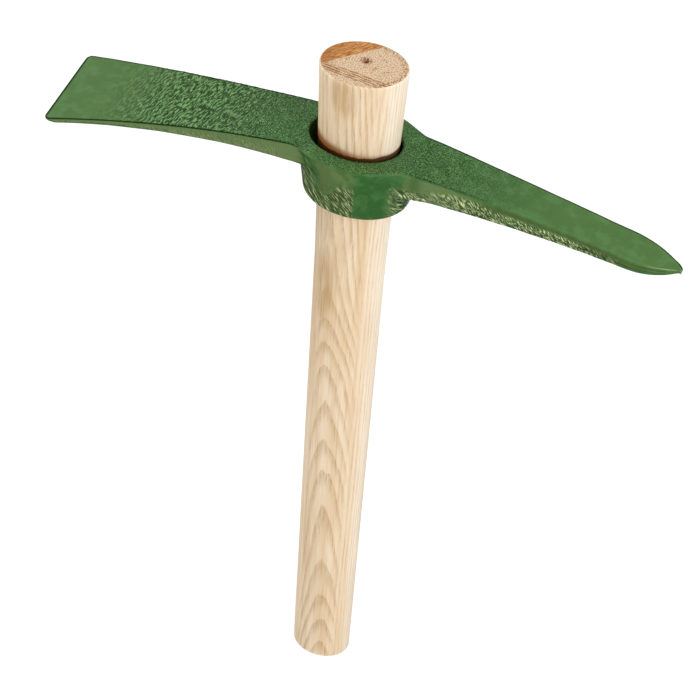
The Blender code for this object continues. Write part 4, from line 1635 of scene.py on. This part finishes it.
    def surface_shares(self, point: Vector, normal: Vector) -> Triple:
        """Say how rippled, pebbled and streaked the forging is at a point.

        Args:
            point: Point in the row frame.
            normal: Outward normal there.

        Returns:
            Shares from 0 to 1 of ripples, pebbles and die streaks.
        """
        marks = self.marks
        x = point.x / MM
        depth = self.top_height(point.x) - point.z
        root_line, arm_line, further_down = marks.streak_line
        start = mix(root_line, arm_line, smoothstep(*marks.streak_line_rises, x))
        start += further_down * smoothstep(*marks.streak_line_drops, x)
        low = smoothstep(start, start + 0.1, depth / max(self.arm_thickness(point.x), self.least_thickness))
        up = smoothstep(*marks.faces_up, normal.z)
        side = smoothstep(*marks.faces_aside, 1.0 - abs(normal.z))
        region = self.region(point.x)
        if region is HeadRegion.ADZE:
            ripple = smoothstep(*marks.ripples_begin, x) * mix(1.0, 0.25, smoothstep(*marks.ripples_thin, x))
            pebble = mix(0.05, 0.9, smoothstep(*marks.adze_pebbles, x))
            return ripple * mix(0.1, 1.0, up), pebble * mix(0.3, 1.0, up), 0.2 * side * low * (1.0 - up)
        if region is HeadRegion.PICK:
            fade = mix(0.8, 0.05, smoothstep(*marks.pick_pebbles_fade, x))
            streak = side * low * (1.0 - up) * (1.0 - smoothstep(*marks.streaks_end, x))
            streak *= mix(0.45, 1.0, smoothstep(*marks.streaks_grow, x))
            side_pebble = 0.3 * low * (1.0 - smoothstep(*marks.side_pebbles_end, x))
            return 0.1 * up * fade, mix(side_pebble, fade, up), streak
        start = mix(0.6, 0.3, smoothstep(*marks.collar_line_rises, x))
        down = smoothstep(start, start + 0.15, depth / self.collar_height)
        to_adze = smoothstep(-0.3, -0.75, normal.x)
        to_pick = smoothstep(*marks.collar_end, x)
        left = smoothstep(*marks.plain_front, x)
        right = to_pick * smoothstep(0.25, 0.4, depth / self.collar_height)
        streak = side * max(down * left, to_adze, right)
        off = (self.outline(point.x) - abs(point.y)) / MM
        rim = smoothstep(*marks.rim_across, off) * smoothstep(*marks.rim_down, depth / MM)
        pebble = mix(0.06 + 0.5 * max(to_adze, to_pick) * down, 0.85, up)
        return 0.2 * up * (1.0 - rim), pebble, streak

    def surface_depth(self, point: Vector, shares: Triple) -> float:
        """Work out how far the forged surface stands off the plain one.

        Args:
            point: Point in the row frame.
            shares: Shares of ripples, pebbles and streaks.

        Returns:
            Height from -1 to 1, to be multiplied by the depth of the forging's relief.
        """
        marks = self.marks
        where = point / MM
        x, y, z = where
        head, side = marks.ripple_heading
        (bend, bend_mm), (drift, drift_mm) = marks.ripple_bends
        along = head * x + side * y + bend * noise.noise(where / bend_mm + Vector((5.0, 1.0, 2.0)))
        across = side * x - head * y + drift * noise.noise(where / drift_mm)
        level, rise = marks.streak_heading
        run = level * x + rise * z
        cross = level * z - rise * x
        height = 0.0
        for stands, share, place_in, sizes_mm in (
            (marks.ripple_height, shares[0], (along, across, z), marks.ripple_mm),
            (marks.pebble_height, shares[1], (x, y, z), marks.pebble_mm),
            (marks.streak_height, shares[2], (run, cross, y), marks.streak_mm),
        ):
            pattern = Vector([own / size for own, size in zip(place_in, sizes_mm)])
            height += stands * share * noise.noise(pattern)
        return max(-1.0, min(height, 1.0))

    def edge_and_shade_share(self, point: Vector) -> float:
        """Say how dark a point is painted: at sharp edges partly thin enamel and partly painted shade, and
        painted shade on the eye's unlit wall.

        Args:
            point: Point in the row frame.

        Returns:
            A share from 0 to 1.
        """
        marks = self.marks
        x = point.x / MM
        if self.free_height(point) == 0.0 and point.z < self.top - self.eye_rim_rounding:
            return marks.eye_shade
        far = point.y > 0.0
        off = (self.outline(point.x) - abs(point.y)) / MM
        wide = mix(*marks.far_lines, smoothstep(*marks.far_line_widens, x)) if far else marks.near_line
        at_rim = smoothstep(wide, wide - marks.line_softness, off)
        depth = self.top_height(point.x) - point.z
        thickness = max(self.arm_thickness(point.x), self.least_thickness)
        rounding = min(self.under_rounding, 0.35 * thickness)
        top = smoothstep(*(marks.far_line_down if far else marks.near_line_down), depth / MM)
        if point.y < 0.0:
            top *= 1.0 - smoothstep(*marks.near_line_ends, x)
        on_arm = 1.0 - 0.9 * self.collar_weight(point.x)
        below = marks.underside_shade * on_arm * smoothstep(0.3, 0.6, (depth - thickness) / rounding + 1.0)
        at_end = smoothstep(*marks.end_line, (self.adze_reach + point.x) / MM)
        at_foot = smoothstep(*marks.foot_line, (point.z - self.bottom) / MM)
        return max(at_rim * top * on_arm, below, at_end, at_foot)

    def shade_share(self, point: Vector, normal: Vector) -> float:
        """Say how deep a point lies in the dark band under the pick's top edges.

        Args:
            point: Point in the row frame.
            normal: Outward normal there.

        Returns:
            A share from 0 to 1.
        """
        marks = self.marks
        x = point.x / MM
        down = (self.top_height(point.x) - point.z) / max(self.arm_thickness(point.x), self.least_thickness)
        along = smoothstep(*marks.shade_begins, x) * (1.0 - smoothstep(*marks.shade_ends, x))
        spread = 0.3 * smoothstep(*marks.shade_spreads, x)
        band = smoothstep(0.02, 0.1, down) * smoothstep(0.38 + spread, 0.24 + spread, down)
        return along * band * smoothstep(0.4, 0.7, 1.0 - abs(normal.z))

    def flank_sheen_share(self, point: Vector, normal: Vector) -> float:
        """Say how much painted reflection lightens the arms' upright sides.

        Args:
            point: Point in the row frame.
            normal: Outward normal there.

        Returns:
            A share from 0 to 1, which on the pick fades away before its point.
        """
        marks = self.marks
        x = point.x / MM
        upright = smoothstep(0.5, 0.8, 1.0 - abs(normal.z))
        start = self.adze_root / MM - marks.flank_into_collar if x < 0.0 else marks.pick_flank_begins
        on_arm = smoothstep(start, start + 5.0, abs(x))
        to_point = 1.0 - smoothstep(*marks.flank_ends, x)
        low = smoothstep(0.35, 0.55, (self.top - point.z) / self.collar_height)
        collar_end = low * smoothstep(*marks.flank_on_collar, x)
        return upright * max(on_arm * to_point, collar_end * (1.0 - on_arm))

    def free_height(self, point: Vector) -> float:
        """Say how far the surface may stand out: not in the eye, nor where the head is widest or highest.

        Args:
            point: Point in the row frame.

        Returns:
            The height in metres.
        """
        centre, half_x, half_y = self.eye_oval(point.z)
        in_eye = ((point.x - centre) / half_x) ** 2 + (point.y / half_y) ** 2
        if in_eye < self.eye_reach:
            return 0.0
        widest = self.adze_half_widths[1] - self.relief_depth
        room = min(widest - abs(point.y), self.top - point.z, point.z - self.bottom)
        return max(0.0, min(room, self.relief_depth))

    def build(self) -> bpy.types.Object:
        """Build the head with its forged surface and dress it.

        Returns:
            The head's object.
        """
        data = self.plain_mesh()
        low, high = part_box("forged_head")
        layers: dict[Layer, list[float]] = {layer: [] for layer in Layer if layer is not Layer.SAWN}
        moved = []
        for vertex in data.vertices:
            point = vertex.co.copy()
            normal = vertex.normal.copy()
            shares = self.surface_shares(point, normal)
            height = self.surface_depth(point, shares)
            broad = noise.noise(point / self.dent_size + Vector((2.0, 5.0, 9.0)))
            to_end = min(point.x + self.adze_reach, self.pick_reach - point.x)
            off = self.relief_depth * height + self.dent_depth * broad
            off *= smoothstep(0.0, self.plain_end, to_end)
            place_to = point + normal * min(off, self.free_height(point))
            place_to.y = max(low[1], min(place_to.y, high[1]))
            moved.append(place_to)
            levels = (
                0.5 + 0.5 * height,
                *shares,
                self.edge_and_shade_share(point),
                self.flank_sheen_share(point, normal),
                self.shade_share(point, normal),
            )
            for values, level in zip(layers.values(), levels):
                values.append(level)
        for vertex, point in zip(data.vertices, moved):
            vertex.co = point
        data.update()
        for layer, values in layers.items():
            add_share(data, layer, values)
        return place("forged_mattock_head", data, self.finish.make())


class Lamp(Enum):
    """The studio's soft boxes."""

    RIGHT_FRONT = "right_front_softbox"
    LEFT_BACK = "left_back_softbox"
    OVERHEAD = "overhead_softbox"


@dataclass(frozen=True)
class SoftBox:
    """One square area lamp: where it stands, its side and how much light it gives the object."""

    lamp: Lamp
    stands: Triple
    side: float
    level: float
    tint: str = WHITE

    def build(self, aim: Vector) -> None:
        """Hang the lamp and point it at the object.

        Args:
            aim: Point that it faces.
        """
        data = bpy.data.lights.new(self.lamp.value, "AREA")
        data.shape = "SQUARE"
        data.size = self.side
        data.color = linear_rgba(self.tint)[:3]
        where = Vector(self.stands)
        distance = (where - aim).length
        data.energy = self.level * math.pi * math.pi * distance * distance
        item = bpy.data.objects.new(self.lamp.value, data)
        item.location = where
        item.rotation_euler = (where - aim).to_track_quat("Z", "Y").to_euler()
        bpy.context.scene.collection.objects.link(item)


@dataclass(frozen=True)
class FloorCard:
    """A card on the floor in front of the object, which is seen only in its gloss."""

    name: str
    colour: str
    glow: float
    corners: tuple[Pair, ...]
    height: float = 2.0 * MM

    def build(self) -> None:
        """Lay the card just above the floor."""
        mesh = bmesh.new()
        mesh.faces.new([mesh.verts.new((x, y, self.height)) for x, y in self.corners])
        data = bpy.data.meshes.new(self.name)
        mesh.to_mesh(data)
        mesh.free()
        material, graph = new_material(self.name)
        graph.add(Step.SURFACE, graph.add(Step.GLOW, self.colour, self.glow))
        card = place(self.name, data, material)
        card.visible_camera = False
        card.visible_diffuse = False
        card.visible_shadow = False
        card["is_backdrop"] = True


@dataclass
class Studio:
    """White floor, soft boxes, pale surroundings and the camera at the photograph's angle."""

    floor_half_side: float = 4.0
    ambient: float = 0.66
    surroundings_in_gloss: float = 0.5
    floor_glow: float = 0.8
    floor_grey: str = "#8f8f8f"
    floor_bounce: str = "#e6e6e6"
    aim: Triple = (0.0, 0.0, 0.25)
    target: Triple = (0.0, 0.0, 0.3013)
    target_px: Pair = (354.081, 205.111)
    azimuth: float = 0.324037
    elevation: float = 0.791219
    roll: float = 0.0775817
    focal_px: float = 3252.109
    distance: float = 1.439897
    cards: tuple[FloorCard, ...] = (
        FloorCard(
            "black_flag",
            "#151515",
            1.0,
            (
                (-0.014, -0.310),
                (0.020, -0.140),
                (0.067, -0.100),
                (0.450, -0.100),
                (0.450, 0.044),
                (1.100, -0.200),
                (0.900, -0.600),
                (0.030, -0.360),
            ),
        ),
        FloorCard(
            "black_strip",
            "#20281c",
            1.0,
            ((-0.450, -0.100), (0.450, -0.100), (0.450, 0.250), (-0.450, 0.250)),
        ),
        FloorCard(
            "light_card",
            "#ffeabc",
            0.95,
            (
                (-0.014, -0.310),
                (0.020, -0.140),
                (0.010, -0.100),
                (-0.900, -0.100),
                (-1.000, -1.000),
                (0.400, -1.000),
                (0.400, -0.480),
                (0.030, -0.360),
            ),
        ),
    )
    lamps: tuple[SoftBox, ...] = (
        SoftBox(Lamp.RIGHT_FRONT, (1.3, -0.8, 1.3), 0.9, 0.47),
        SoftBox(Lamp.LEFT_BACK, (-1.5, 0.2, 1.1), 0.9, 0.33),
        SoftBox(Lamp.OVERHEAD, (0.1, 0.1, 1.9), 1.2, 0.06),
    )

    def add_floor(self) -> None:
        """Lay the floor, which shows white to the camera with a faint shadow of the object."""
        mesh = bmesh.new()
        bmesh.ops.create_grid(mesh, x_segments=1, y_segments=1, size=self.floor_half_side)
        data = bpy.data.meshes.new("studio_floor")
        mesh.to_mesh(data)
        mesh.free()
        material, graph = new_material("white_paper")
        add = graph.add
        seen = add(Step.TOGETHER, add(Step.MATT, self.floor_grey), add(Step.GLOW, WHITE, self.floor_glow))
        direct = add(Step.ADD, add(Step.CAMERA_RAY), add(Step.GLOSSY_RAY), use_clamp=True)
        direct = add(Step.ADD, direct, add(Step.TRANSMISSION_RAY), use_clamp=True)
        add(Step.SURFACE, add(Step.EITHER, direct, add(Step.MATT, self.floor_bounce), seen))
        place("studio_floor", data, material)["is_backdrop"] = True

    def add_surroundings(self) -> None:
        """Make the world white to the camera, pale in gloss and plain for the light it gives."""
        world = bpy.data.worlds.new("studio")
        bpy.context.scene.world = world
        world.use_nodes = True
        add = NodeGraph(world.node_tree).add
        in_gloss = add(Step.ADD, add(Step.GLOSSY_RAY), add(Step.TRANSMISSION_RAY), use_clamp=True)
        strength = add(Step.MULTIPLY_ADD, in_gloss, self.surroundings_in_gloss - self.ambient, self.ambient)
        level = add(Step.MAXIMUM, strength, add(Step.CAMERA_RAY))
        add(Step.SURROUNDINGS, add(Step.BACKGROUND, WHITE, level))

    def add_camera(self) -> None:
        """Stand the camera where the photograph was taken from."""
        sin_a, cos_a = math.sin(self.azimuth), math.cos(self.azimuth)
        sin_e, cos_e = math.sin(self.elevation), math.cos(self.elevation)
        back = Vector((sin_a * cos_e, -cos_a * cos_e, sin_e))
        right = Vector((cos_a, sin_a, 0.0))
        up = back.cross(right)
        turned_right = right * math.cos(self.roll) + up * math.sin(self.roll)
        turned_up = up * math.cos(self.roll) - right * math.sin(self.roll)
        per_px = self.distance / self.focal_px
        middle = 0.5 * IMAGE_SIZE_PX
        where = Vector(self.target) + back * self.distance
        where -= turned_right * ((self.target_px[0] - middle) * per_px)
        where += turned_up * ((self.target_px[1] - middle) * per_px)
        data = bpy.data.cameras.new("photo_camera")
        data.sensor_width = SENSOR_MM
        data.lens = self.focal_px * SENSOR_MM / IMAGE_SIZE_PX
        camera = bpy.data.objects.new("photo_camera", data)
        axes = Matrix((turned_right, turned_up, back)).transposed()
        camera.matrix_world = Matrix.Translation(where) @ axes.to_4x4()
        bpy.context.scene.collection.objects.link(camera)
        bpy.context.scene.camera = camera

    def build(self) -> None:
        """Set up the whole studio."""
        bpy.context.scene.view_settings.view_transform = "Standard"
        self.add_floor()
        for card in self.cards:
            card.build()
        self.add_surroundings()
        for lamp in self.lamps:
            lamp.build(Vector(self.aim))
        self.add_camera()


def corners(bounds: tuple[Vector, Vector]) -> list[list[float]]:
    """Turn a box into plain lists."""
    return [list(corner) for corner in bounds]


def main() -> None:
    """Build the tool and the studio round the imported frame."""
    logging.basicConfig(level=logging.INFO, format="%(name)s: %(message)s")
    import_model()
    sizes = {"cad": corners(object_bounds())}
    head = ForgedHead().build()
    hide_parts("forged_head")
    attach(head, "head")
    log.info("%s: %d faces", head.name, len(head.data.polygons))
    handle = AshHandle().build()
    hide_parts("ash_handle")
    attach(handle, "handle")
    log.info("%s: %d faces", handle.name, len(handle.data.polygons))
    Studio().build()
    sizes["scene"] = corners(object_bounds())


if __name__ == "__main__":
    main()
